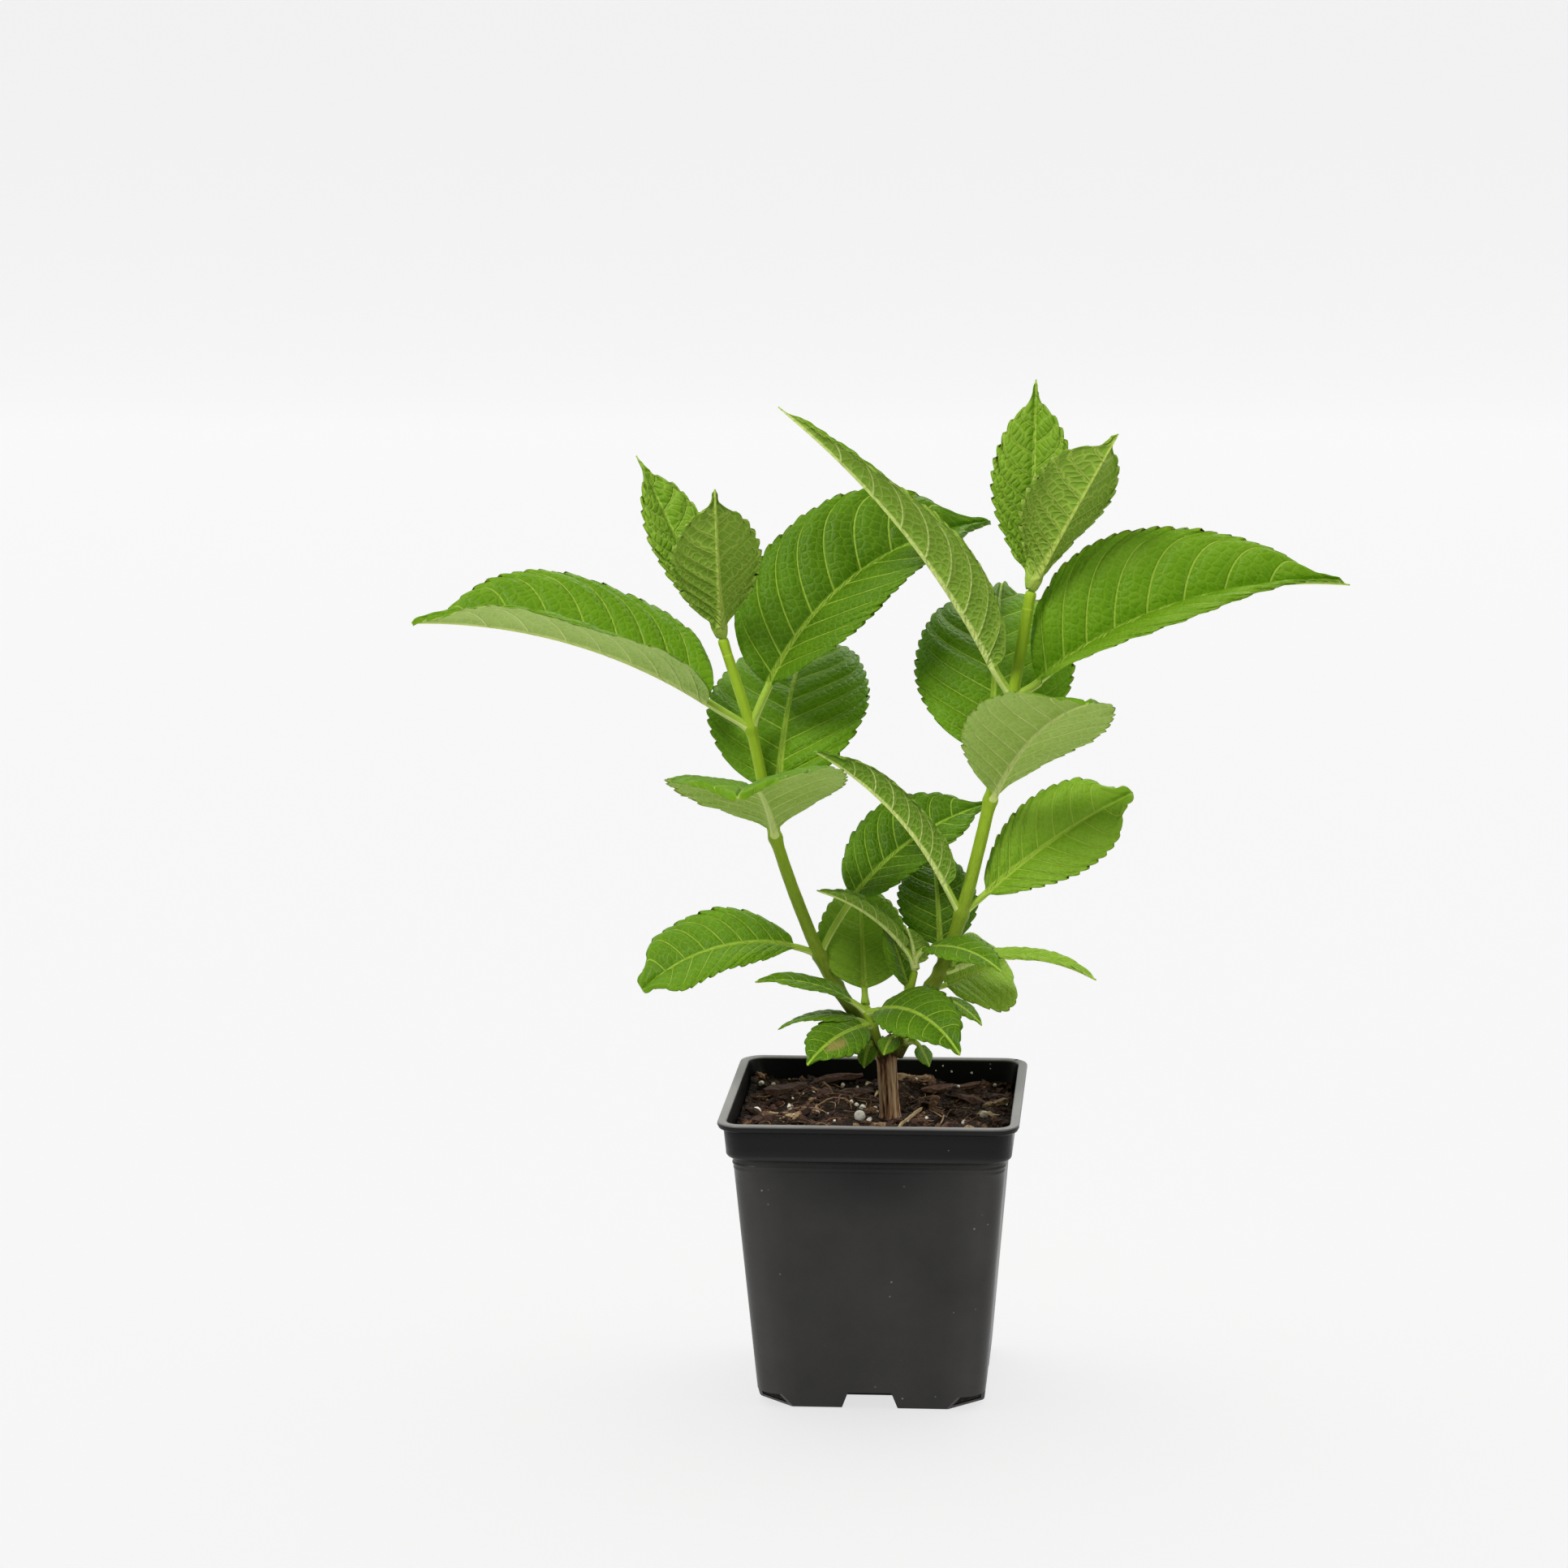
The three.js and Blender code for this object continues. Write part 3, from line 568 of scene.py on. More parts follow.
def green_stem(tree):
    """Green stem skin, grown and not yet corky: olive and brown-flecked low down, yellow-green above.
    The mesh gives how old the skin is and a map of turn and length, along which the flecks run."""
    age = add(tree, "Attribute", attribute_name="age").outputs["Fac"]
    along = add(tree, "Attribute", attribute_name="grain").outputs["Vector"]
    place = add(tree, "TexCoord").outputs["Object"]
    streaks = add(tree, "TexNoise", {"Vector": along, "Scale": 1, "Detail": 4, "Roughness": 0.6})
    greens = ((0.12, "#a2c02e"), (0.45, "#8eac26"), (0.75, "#6b7c20"), (1.0, "#4a431c"))
    skin = toned(tree, streaks, 0.3, "age", greens)
    flecks = add(tree, "TexVoronoi", {"Vector": along, "Scale": 1.3})
    dots = add(tree, "MapRange", {"Value": flecks, "From Min": 0.1, "From Max": 0.24})
    fleck_share = add(tree, "Math", {0: dots, 1: -1, 2: 1}, operation="MULTIPLY_ADD")
    aged = add(tree, "Math", {0: fleck_share, 1: age}, operation="MULTIPLY")
    grain = add(tree, "TexNoise", {"Vector": place, "Scale": 1400, "Detail": 2})
    height = add(tree, "Math", {0: streaks, 1: 1.5, 2: grain}, operation="MULTIPLY_ADD")
    return {
        "Base Color": mixed(tree, aged, skin, "#5a3f26"),
        "Roughness": 0.48,
        "Normal": add(tree, "Bump", {"Height": height, "Strength": 0.4, "Distance": 0.0002}),
        "IOR": 1.42,
        "Specular IOR Level": 0.2,
        "Subsurface Weight": 0.1,
        "Subsurface Radius": (0.4, 1.0, 0.15),
        "Subsurface Scale": 0.001,
    }


def stringy_bark(tree):
    """Old hydrangea bark, weathered outdoors: dry, thin, peeling in tan strips over dark grooves."""
    place = add(tree, "TexCoord").outputs["Object"]
    # Fibres a third of a millimetre wide, drawn out along the stem
    stretched = add(tree, "Mapping", {"Vector": place, "Scale": (3000, 3000, 130)})
    fibres = add(tree, "TexNoise", {"Vector": stretched, "Scale": 1, "Detail": 3})
    tans = ((0.2, "#2c1b13"), (0.45, "#6f4c33"), (0.7, "#b48a63"), (1.0, "#dcbd95"))
    return {
        "Base Color": toned(tree, fibres, 0.7, "relief", tans),
        "Roughness": 0.85,
        "Normal": add(tree, "Bump", {"Height": fibres, "Strength": 0.8, "Distance": 0.0004}),
        "IOR": 1.5,
        "Specular IOR Level": 0.3,
    }


def damp_compost(tree):
    """Damp bark and peat compost, milled coarse: brown on its crumbs, and near black in its
    hollows by painted shade.
    """
    place = add(tree, "TexCoord").outputs["Object"]
    crumbs = add(tree, "TexVoronoi", {"Vector": place, "Scale": 620}, feature="F1")
    dust = add(tree, "TexNoise", {"Vector": place, "Scale": 420, "Detail": 5, "Roughness": 0.65})
    browns = ((0.25, "#0e0906"), (0.55, "#251a10"), (0.8, "#433120"), (1.0, "#665037"))
    # Painted shade: the noise that colours the compost also lowers its bump, so its hollows are the
    # darkest
    height = add(tree, "Math", {0: crumbs, 1: -1.2, 2: dust}, operation="MULTIPLY_ADD")
    return {
        "Base Color": toned(tree, dust, 0.75, "relief", browns),
        "Roughness": 0.92,
        "Normal": add(tree, "Bump", {"Height": height, "Strength": 1.0, "Distance": 0.0012}),
        "IOR": 1.45,
        "Specular IOR Level": 0.25,
    }


def wood_chip(tree):
    """Milled pine bark and wood chips: dry broken faces with a fibrous grain, each its own brown."""
    place = add(tree, "TexCoord").outputs["Object"]
    grain = add(tree, "TexNoise", {"Vector": place, "Scale": 800, "Detail": 5, "Roughness": 0.7})
    browns = ((0.15, "#1c110b"), (0.45, "#42291c"), (0.75, "#785a42"), (1.0, "#b29a72"))
    return {
        "Base Color": toned(tree, grain, 0.7, "shade", browns, less=0.22),
        "Roughness": 0.88,
        "Normal": add(tree, "Bump", {"Height": grain, "Strength": 0.7, "Distance": 0.0006}),
        "IOR": 1.5,
        "Specular IOR Level": 0.3,
    }


def perlite(tree):
    """Expanded volcanic glass, popped in a kiln: chalk white, matt and finely pitted."""
    place = add(tree, "TexCoord").outputs["Object"]
    pits = add(tree, "TexVoronoi", {"Vector": place, "Scale": 1900})
    dirt = add(tree, "TexNoise", {"Vector": place, "Scale": 500, "Detail": 3})
    return {
        "Base Color": add(tree, "ValToRGB", {"Fac": dirt}, stops=((0.3, "#c4b79e"), (0.46, "#f0ebdc"))),
        "Roughness": 0.8,
        "Normal": add(tree, "Bump", {"Height": pits, "Strength": 0.6, "Distance": 0.0003}),
        "IOR": 1.5,
    }


def pot_plastic(tree, colour):
    """Recycled black polypropylene, injection moulded thin: satin and faintly uneven, greyed by a
    painted reflection of the bright floor on the body, with painted highlights on its corners and
    ledge, a painted darker reflection high in the middle of each face and a painted sheen on top of
    the lip, and with pale dust specks and short scuffs."""
    place = add(tree, "TexCoord").outputs["Object"]
    # Painted reflection: the mesh's share of pale grey, made uneven by the clouds, stands for the floor
    # reflected in the body, highlights on the corners and ledge, and a sheen on top of the lip
    reflection_paint = add(tree, "Attribute", attribute_name="reflection_paint").outputs["Fac"]
    clouds = add(tree, "TexNoise", {"Vector": place, "Scale": 38, "Detail": 4, "Roughness": 0.6})
    uneven = add(tree, "Math", {0: clouds, 1: 0.9, 2: 0.55}, operation="MULTIPLY_ADD")
    reflection_share = add(tree, "Math", {0: uneven, 1: reflection_paint}, operation="MULTIPLY")
    # Dust specks of a few tenths of a millimetre, drawn larger than real so that they show
    dust = add(tree, "TexVoronoi", {"Vector": place, "Scale": 210, "Randomness": 1.0})
    near = {"Value": dust, "From Min": 0.05, "From Max": 0.09, "To Min": 0.55, "To Max": 0}
    specks = add(tree, "MapRange", near)
    chosen = add(tree, "TexNoise", {"Vector": place, "Scale": 70, "Detail": 1})
    some = add(tree, "MapRange", {"Value": chosen, "From Min": 0.56, "From Max": 0.66})
    speck = add(tree, "Math", {0: specks, 1: some}, operation="MULTIPLY")
    # Scuffs: long thin streaks, longest across the face of the pot
    stretch = {"Vector": place, "Scale": (60, 60, 420), "Rotation": (0.5, 0.4, 0)}
    drawn = add(tree, "Mapping", stretch)
    scuffs = add(tree, "TexNoise", {"Vector": drawn, "Scale": 1, "Detail": 2})
    grain = add(tree, "TexNoise", {"Vector": place, "Scale": 900, "Detail": 3})
    height = add(tree, "Math", {0: scuffs, 1: 1.2, 2: grain}, operation="MULTIPLY_ADD")
    satin = {"Value": clouds, "From Min": 0.3, "From Max": 0.7, "To Min": 0.28, "To Max": 0.4}
    # Base colour: the painted reflection's grey over the black, then real pale dust specks over that
    return {
        "Base Color": mixed(tree, speck, mixed(tree, reflection_share, colour, "#8f8d89"), "#8f8c86"),
        "Roughness": add(tree, "MapRange", satin),
        "Normal": add(tree, "Bump", {"Height": height, "Strength": 0.25, "Distance": 0.0003}),
        "IOR": 1.49,
        "Specular IOR Level": 0.16,
    }


def studio_paper(tree, colour):
    """Matt translucent studio sheet, seamless, lit from below: one pale, even tone."""
    place = add(tree, "TexCoord").outputs["Object"]
    mottle = add(tree, "TexNoise", {"Vector": place, "Scale": 30, "Detail": 2})
    return {
        "Base Color": colour,
        "Roughness": 0.9,
        "Specular IOR Level": 0.0,
        "Normal": add(tree, "Bump", {"Height": mottle, "Strength": 0.02, "Distance": 0.0005}),
        "Emission Color": linear("#ffffff"),
        "Emission Strength": 0.715,
    }


def nodes_of(shoot):
    """Points where a shoot's leaves join it: each internode's heading times its length, added up."""
    steps = [length * heading(bearing, rise) for length, bearing, rise in shoot["internodes"]]
    return np.array(shoot["foot"], float) + np.concatenate([np.zeros((1, 3)), np.cumsum(steps, 0)])


def smooth_path(nodes, count):
    """Points evenly along the centripetal Catmull-Rom curve through the nodes, and its directions.
    Each span is a cubic whose end slopes weigh the neighbouring spans by the root of their length."""
    before = 2 * nodes[0] - nodes[1]
    after = 2 * nodes[-1] - nodes[-2]
    whole = np.concatenate([[before], nodes, [after]])
    fine = []
    for i in range(len(nodes) - 1):
        p0, p1, p2, p3 = whole[i : i + 4]
        d0, d1, d2 = (np.sqrt(np.linalg.norm(b - a)) for a, b in ((p0, p1), (p1, p2), (p2, p3)))
        slope1 = ((p1 - p0) / d0 - (p2 - p0) / (d0 + d1) + (p2 - p1) / d1) * d1
        slope2 = ((p2 - p1) / d1 - (p3 - p1) / (d1 + d2) + (p3 - p2) / d2) * d1
        t = np.linspace(0, 1, 200, endpoint=i == len(nodes) - 2)[:, None]
        fine.append(
            p1
            + slope1 * t
            + (-3 * p1 + 3 * p2 - 2 * slope1 - slope2) * t**2
            + (2 * p1 - 2 * p2 + slope1 + slope2) * t**3
        )
    fine = np.concatenate(fine)
    lengths = np.concatenate([[0], np.cumsum(np.linalg.norm(np.diff(fine, axis=0), axis=1))])
    wanted = np.linspace(0, lengths[-1], count)
    points = np.stack([np.interp(wanted, lengths, fine[:, axis]) for axis in range(3)], -1)
    return points, unit(np.gradient(points, axis=0)), wanted


def tube(centres, side, face, turn, wide, high):
    """Rings about a path's centres: at each turn, wide times its cosine along side and high times
    its sine along face. wide and high are arrays (rows, columns)."""
    across = wide[..., None] * np.cos(turn)[None, :, None] * side[:, None]
    through = high[..., None] * np.sin(turn)[None, :, None] * face[:, None]
    return centres[:, None] + across + through


def limb(shoot, age_low, age_high, free_end, columns=40, step=0.9):
    """A green limb: rings square to a smooth path. The radius tapers evenly, swells at each node by
    a bell curve, carries six faint ridges and has a thin raised line round each node. A free end is
    domed. The skin is oldest at the foot and younger by the power 0.55 of the way up."""
    nodes = nodes_of(shoot)
    count = max(8, int(sum(i[0] for i in shoot["internodes"]) / step))
    centres, along, lengths = smooth_path(nodes, count)
    share = lengths / lengths[-1]
    side = unit(np.cross([0, 1, 0], along))
    face = np.cross(along, side)
    joints = nodes[1:-1] if len(nodes) > 2 else nodes[1:]
    apart = np.linalg.norm(centres[:, None] - joints[None], axis=-1).min(1)
    swell = (NODE_SWELL if len(nodes) > 2 else 0.2) * bell(apart, NODE_SPREAD)
    line = 0.16 * bell(apart, 0.5) * (len(nodes) > 2)
    turn = full_turn(columns)
    ridges = 0.05 * np.cos(6 * turn)[None] + 0.02 * np.cos(17 * turn)[None]
    low, high = shoot["radii"]
    radius = (lerp(low, high, share) + swell + line)[:, None] + ridges
    if free_end:
        to_end = np.clip((lengths[-1] - lengths) / (1.2 * high), 0, 1)
        radius = radius * np.sqrt(np.clip(to_end * (2 - to_end), 0.02, 1))[:, None]
    rings = tube(centres, side, face, turn, radius, radius)
    bumps = 0.06 * noise(rings, 1.8, 5)
    outward = unit(rings - centres[:, None])
    rings = rings + bumps[..., None] * outward
    age = np.broadcast_to(lerp(age_low, age_high, share**0.55)[:, None], radius.shape)
    grain = points_of(np.cos(turn) * 2.6, np.sin(turn) * 2.6, lengths[:, None] * 0.35)
    return rings, dict(age=age, grain=grain)


def limb_shell(shoot, age_low, age_high, slot=0, leafy=False):
    """A limb's closed shell. In a mass of foliage it carries the leaves' values too, and ends there."""
    rings, values = limb(shoot, age_low, age_high, leafy)
    if leafy:
        values.update(leaf_blanks(rings))
    return closed_shell(rings, values, slot)


def leaf_blanks(rings):
    """The leaf skins' values for a shell that has none of them."""
    flat = np.zeros(rings.shape[:2])
    return dict(veins=np.zeros(rings.shape), panel=flat, shade=flat, spot=flat)


def on_arc(start, bearing, rise_from, rise_to, length, share):
    """Points on an arc whose rise changes evenly: the radius is length over the whole bend, so the
    way out is the difference of the sines over the bend, and the way up that of the cosines."""
    bend = np.radians(rise_from - rise_to) or 1e-4
    now = np.radians(rise_from) - bend * share
    out = length * (np.sin(np.radians(rise_from)) - np.sin(now)) / bend
    up = length * (np.cos(now) - np.cos(np.radians(rise_from))) / bend
    level = np.radians(bearing)
    return start + points_of(out * np.cos(level), out * np.sin(level), up)


def blade_shape(t, root, tip):
    """Half width as a share of the widest: t to the root's power times (1 - t) to the tip's power."""
    widest = root / (root + tip)
    peak = widest**root * (1 - widest) ** tip
    t = np.clip(t, 0, 1)
    return t**root * (1 - t) ** tip / peak


def leaf(base, spec, seed, look, settings):
    """One leaf as a closed shell: a round stalk that runs on as the midrib of a thin folded blade.

    Rows cross the blade the way its side veins run. A row meets the margin at a share e of the
    length and the midrib further back, at e to the power 2.3, and bends forward on its way out.
    Columns go over the upper side from one margin to the other and back on the underside. Side
    veins follow rows that are even in e to the power 1.5. Between them the blade is quilted by sine
    arches and crossed by rungs, and every few rows the margin steps in to leave a forward tooth.
    look: tooth size, quilting, side veins, rung spacing, and how much stouter the midrib starts;
    for a withered spot its place, along as a share and across from -1 to 1, and its size."""
    random = np.random.default_rng(seed)
    bearing, fold, roll = spec["bearing"], spec["fold"], spec["roll"]
    stalk, stalk_rise = spec["stalk"]
    length, width = spec["blade"]
    rise, droop = spec["arch"]
    rib_base = RIB_AT_BASE + RIB_PER_LENGTH * length
    skin = settings.leaf_thickness / MM / 2
    teeth = max(5, round(length / look["tooth"]))
    rows = teeth * ROWS_PER_TOOTH
    half, rib_columns = (26, 6) if length > LONG_LEAF else (16, 4)
    stalk_rows = max(4, int(stalk / 1.1))

    column = np.arange(4 * half)
    across = np.where(column <= 2 * half, 1 - column / half, column / half - 3)
    upper = column <= 2 * half
    a = np.abs(across)[None]
    e = np.concatenate([np.zeros(stalk_rows), np.arange(rows + 1) / rows])[:, None]
    s = np.concatenate([np.arange(stalk_rows) / stalk_rows, np.ones(rows + 1)])[:, None]
    on_left = (across < 0)[None]
    even, square, sixth = ROW_REACH
    reach = even * a + square * a**2 + sixth * a**6
    reach_slope = even + 2 * square * a + 6 * sixth * a**5
    e = e + on_left * a * 0.45 / teeth * np.sin(np.pi * e)
    at_rib = e**ROW_BEND
    t = np.clip(at_rib + (e - at_rib) * reach, 0, 1)

    rib = lerp(rib_base, RIB_AT_TIP, t**RIB_TAPER) * (1 + look.get("stout", 0) * s * (1 - t) ** 5)
    drawn_out = 1 - look["point"] * bell(t - TIP_NARROWS_AT, TIP_NARROWS_OVER)
    wing = blade_shape(t, spec["root"], spec["tip"]) * width / 2 * drawn_out
    opened = smooth(wing, 0, STALK_TO_BLADE * rib)
    rib = rib * (1 + 0.5 * bell(s * stalk, 2.5) * (s < 1))
    edge = rib + wing
    index = np.concatenate([np.zeros(stalk_rows), np.arange(rows + 1) % ROWS_PER_TOOTH])[:, None]
    point = index / (ROWS_PER_TOOTH - 1)
    toothed = smooth(e, *TEETH_BEGIN) * (1 - smooth(e, *TEETH_END))
    uneven = 1 + 0.25 * noise(points_of(e * 40, across[None] * 2, 0), 3, seed)
    cut = look["tooth"] * look["tooth_depth"] * (1 - point) ** TOOTH_HOLLOW * toothed * uneven
    rib_share = rib_columns / half
    flat_x = np.where(
        a <= rib_share, rib * a / rib_share, rib + (edge - rib) * (a - rib_share) / (1 - rib_share)
    )
    flat_x = flat_x - np.minimum(cut, 0.4 * wing) * smooth(a, 0.7, 1) ** 2
    x = lerp(rib * np.sin(a * np.pi / 2), flat_x, opened)

    vein_count = look["veins"]
    gap = VEIN_SPAN / vein_count
    vein_at = (e**VEIN_EVEN - FIRST_VEIN - np.where(on_left, 0.4 * gap, 0)) / gap
    vein_at = np.clip(vein_at, -0.5, vein_count - 0.5)
    row_spread = lerp(ROW_BEND * e ** (ROW_BEND - 1), 1, reach)
    row_gap = row_spread * length * gap / (VEIN_EVEN * np.maximum(e, 0.02) ** (VEIN_EVEN - 1))
    forward = length * (e - at_rib) * reach_slope / np.maximum(edge, 0.1)
    vein_radius = lerp(*VEIN_RADII, a) * (length / 100) ** 0.7
    panel = np.maximum(row_gap / np.sqrt(1 + forward**2) / vein_radius, 0.5)
    margin_fade = smooth(a, 0.84, 0.98)
    between = np.floor(vein_at)
    along_vein = (x + RUNG_LEAN * t * length) / np.hypot(1, RUNG_LEAN)
    rung = along_vein / look["rung"] + 0.37 * between

    arch = np.abs(np.sin(np.pi * vein_at)) ** 0.8
    hollow = smooth(x, rib, 4 * rib) * (1 - 0.65 * smooth(a, 0.75, 1)) * opened
    pillow = 0.5 + 0.5 * np.cos(2 * np.pi * rung)
    quilt = settings.quilting / MM * look["quilt"] * (length / 100) ** 0.5
    relief = quilt * hollow * (arch - 0.25 * pillow * arch)
    sway_turns, sway_start = random.uniform(1.2, 1.9), random.uniform(0, 1)
    sway = SWAY * width * a**2 * np.sin(2 * np.pi * (sway_turns * e + sway_start) + on_left)
    flutter = FLUTTER * width * a**4 * np.sin(2 * np.pi * e * teeth / 2.7)
    curl = -MARGIN_CURL * width * smooth(a, 0.7, 1) ** 2 * look["curl"]
    folded = x * np.sin(np.radians(fold)) - WING_CURL * x * x / (width / 2)
    lift = opened * (folded + relief + sway + flutter + curl)
    spread = x * lerp(1, np.cos(np.radians(fold)), opened)

    round_y = np.sqrt(np.maximum(rib * rib - x * x, 0))
    groove = 0.3 * rib * bell(x, 0.55 * rib)
    closing = np.sqrt(np.clip(1 - a**6, 0, 1))
    top_y = lerp(round_y, skin * closing - groove, opened)
    ridge = 0.95 * rib * bell(x, 0.8 * rib)
    from_vein = np.abs(vein_at - np.round(vein_at)) * panel
    side_ridge = 0.5 * vein_radius * bell(from_vein, 1.3) * (1 - margin_fade) * opened
    low_y = -lerp(round_y, skin * closing + ridge, opened) - side_ridge * smooth(x, 0, rib)
    y = np.where(upper[None], top_y, low_y)
    y = np.where((column == 0) | (column == 2 * half), 0, y)

    rise_here = np.where(s < 1, lerp(stalk_rise, rise, s), rise - droop * t)
    roll_here = roll * s + 0 * t
    along = heading(bearing, rise_here)
    level_side = np.broadcast_to(heading(bearing + 90, 0), along.shape)
    side = turned(level_side, along, roll_here)
    face = np.cross(along, side)
    blade_base = on_arc(base, bearing, stalk_rise, rise, stalk, np.float64(1))
    stalk_centre = on_arc(base, bearing, stalk_rise, rise, stalk, s + 0 * t)
    blade_centre = on_arc(blade_base, bearing, rise, rise - droop, length, t)
    centre = np.where((s < 1)[..., None], stalk_centre, blade_centre)
    sideways = np.sign(across)[None] * spread
    rings = centre + side * sideways[..., None] + face * (y + lift)[..., None]

    middle = np.where(opened > 0.02, x / (0.9 * rib + 0.14), 0)
    veins = points_of(vein_at, middle, rung)
    panel = np.where(opened > 0.02, panel * (1 + 5 * margin_fade), 0)
    over, beneath = TONES[look["tone"]]
    # Painted shade: each blade is darker near its midrib and lighter towards its margin, where its curve
    # turns to the light
    shade = np.where(upper[None], over, beneath) + 0.14 * (a - 0.5) + 0 * t
    spot = np.zeros_like(t)
    if look.get("spot"):
        (along_at, across_at), (long, wide) = look["spot"]
        off_along = (t - along_at) * length / long
        off = np.hypot(off_along, (across[None] - across_at) * width / 2 / wide)
        ragged = off + 0.35 * noise(rings, 2.2, seed)
        spot = 0.6 * (1 - smooth(ragged, 0.6, 1.2))
    blanks = dict(age=np.zeros_like(t), grain=np.zeros(rings.shape))
    return closed_shell(
        rings,
        dict(veins=veins, panel=panel, shade=shade, spot=spot, **blanks),
        np.where(column < 2 * half, 0, 1),
    )


# Grown leaves have many small teeth, the young ones few large ones, and are more deeply quilted
GROWN = dict(tooth=4.0, tooth_depth=0.25, quilt=1.5, veins=8, rung=2.8, point=0.45, curl=0.3)
YOUNG = dict(tooth=4.6, tooth_depth=0.36, quilt=2.0, veins=8, rung=2.2, point=0.66, curl=0.2, stout=0.9)
SMALL = dict(tooth=3.4, tooth_depth=0.24, quilt=1.0, veins=6, rung=2.2, point=0.3, curl=0.3)
SCALE_LEAF = dict(tooth=2.2, tooth_depth=0.1, quilt=0.4, veins=4, rung=1.6, point=0.2, curl=0.1)
# A withered spot on one small leaf: its place along and across, and its half length and width
SPOTS = {"front_sprout_3": ((0.6, 0.45), (4.2, 2.0))}
# Each group's leaves draw from seeds counted on from here
LEAF_SEEDS = 100
TIP_SEEDS = 200
SPROUT_SEEDS = 300
CHIP_SEED = 7
STRAW_SEED = 11
GRAIN_SEED = 5
# How light each leaf is, 0 to 1: its upper side, then its underside. Partly each leaf's own tone
# and partly painted light: some tones stand for how much light falls on the leaf, as on
# right_0_right, set lightest though it lies in shade.
TONES = {
    "left_1_left": (0.52, 0.5),
    "left_1_right": (0.35, 0.4),
    "left_2_front": (0.55, 0.8),
    "left_2_back": (0.56, 0.45),
    "left_3_left": (0.6, 0.95),
    "left_3_right": (0.4, 0.6),
    "right_0_low": (0.5, 0.5),
    "right_0_right": (1.15, 0.6),
    "right_1_front": (0.95, 1.0),
    "right_1_back": (0.3, 0.4),
    "right_2_left": (0.4, 0.22),
    "right_2_right": (0.8, 0.6),
    "right_3_front": (0.55, 0.82),
    "right_3_back": (0.54, 0.45),
    "right_4_left": (0.6, 0.5),
    "right_4_right": (0.66, 0.7),
    "young": (0.78, 0.46),
    "front_sprout_0": (0.84, 0.5),
    "front_sprout_3": (0.36, 0.5),
    "front_sprout_4": (0.36, 0.5),
    "sprout": (0.45, 0.36),
}


def round_square(width, corner, z, per_corner=12, per_side=10):
    """A ring round a square with round corners, counter-clockwise from above: for each quarter, an
    arc about the corner's middle, then points evenly along the straight side to the next arc."""
    rings = []
    inset = width / 2 - corner
    share = np.linspace(0, 1, per_side + 1)[1:-1, None]
    for quarter in range(4):
        middle = np.pi / 4 + quarter * np.pi / 2
        centre = np.sqrt(2) * inset * level_way(middle)
        next_centre = np.sqrt(2) * inset * level_way(middle + np.pi / 2)
        turn = middle + np.linspace(-np.pi / 4, np.pi / 4, per_corner + 1)
        arc = centre + corner * level_way(turn)
        end = next_centre + corner * level_way(middle + np.pi / 4)
        rings.append(np.concatenate([arc, lerp(arc[-1], end, share)]))
    flat = np.concatenate(rings)
    return np.concatenate([flat, np.full((len(flat), 1), float(z))], 1)


def square_stack(levels, **kinds):
    """A closed shell of round squares, each level a width, a corner radius and a height."""
    return closed_shell(np.stack([round_square(*level, **kinds) for level in levels]))


def rounded_step(start, end, steps=5):
    """Levels from one width, corner and height to another along a quarter of an ellipse: out by the
    sine of an even turn, and up by one less its cosine."""
    levels = []
    for turn in np.linspace(0, np.pi / 2, steps + 1)[1:]:
        width = lerp(start[0], end[0], np.sin(turn))
        corner = lerp(start[1], end[1], turn * 2 / np.pi)
        levels.append((width, corner, lerp(start[2], end[2], 1 - np.cos(turn))))
    return levels


def wall_levels():
    """The pot's outer profile from its foot to its lip, with two fine ribs under the ledge."""

    def width_at(z):
        return lerp(FOOT_WIDTH, SHOULDER_WIDTH, z / SHOULDER_Z)

    levels = [
        (FOOT_WIDTH - 2.0, FOOT_CORNER, 0),
        (FOOT_WIDTH - 1.0, FOOT_CORNER, 0.12),
        (FOOT_WIDTH - 0.3, FOOT_CORNER, 0.45),
        (FOOT_WIDTH, FOOT_CORNER, 1.0),
    ]
    levels += [(width_at(z), FOOT_CORNER, z) for z in np.linspace(4, 78, 24)]
    for rib_z, depth, half in ((82.9, 0.12, 0.5), (84.6, 0.3, 0.7)):
        for off in np.linspace(-half, half, 7):
            lift = depth * (1 - (off / half) ** 2)
            levels.append((width_at(rib_z + off) + 2 * lift, FOOT_CORNER, rib_z + off))
    levels.append((width_at(86.2), FOOT_CORNER, 86.2))
    levels += rounded_step((SHOULDER_WIDTH, FOOT_CORNER, 86.8), (BAND_WIDTH, FOOT_CORNER, 88.6))
    levels += [
        (lerp(BAND_WIDTH, BAND_TOP_WIDTH, q), lerp(FOOT_CORNER, RIM_CORNER, q), lerp(89.2, 97, q))
        for q in np.linspace(0, 1, 5)
    ]
    lip_corner = RIM_CORNER + 1
    levels += rounded_step((BAND_TOP_WIDTH, RIM_CORNER, 97.2), (LIP_WIDTH - 0.5, lip_corner, 98.5))
    levels += [
        (LIP_WIDTH - 0.05, lip_corner, 98.75),
        (LIP_WIDTH, lip_corner, 99.15),
        (LIP_WIDTH - 0.15, lip_corner, 99.55),
        (LIP_WIDTH - 0.6, lip_corner, 99.88),
        (LIP_WIDTH - 1.4, RIM_CORNER + 0.6, POT_HEIGHT),
    ]
    return levels


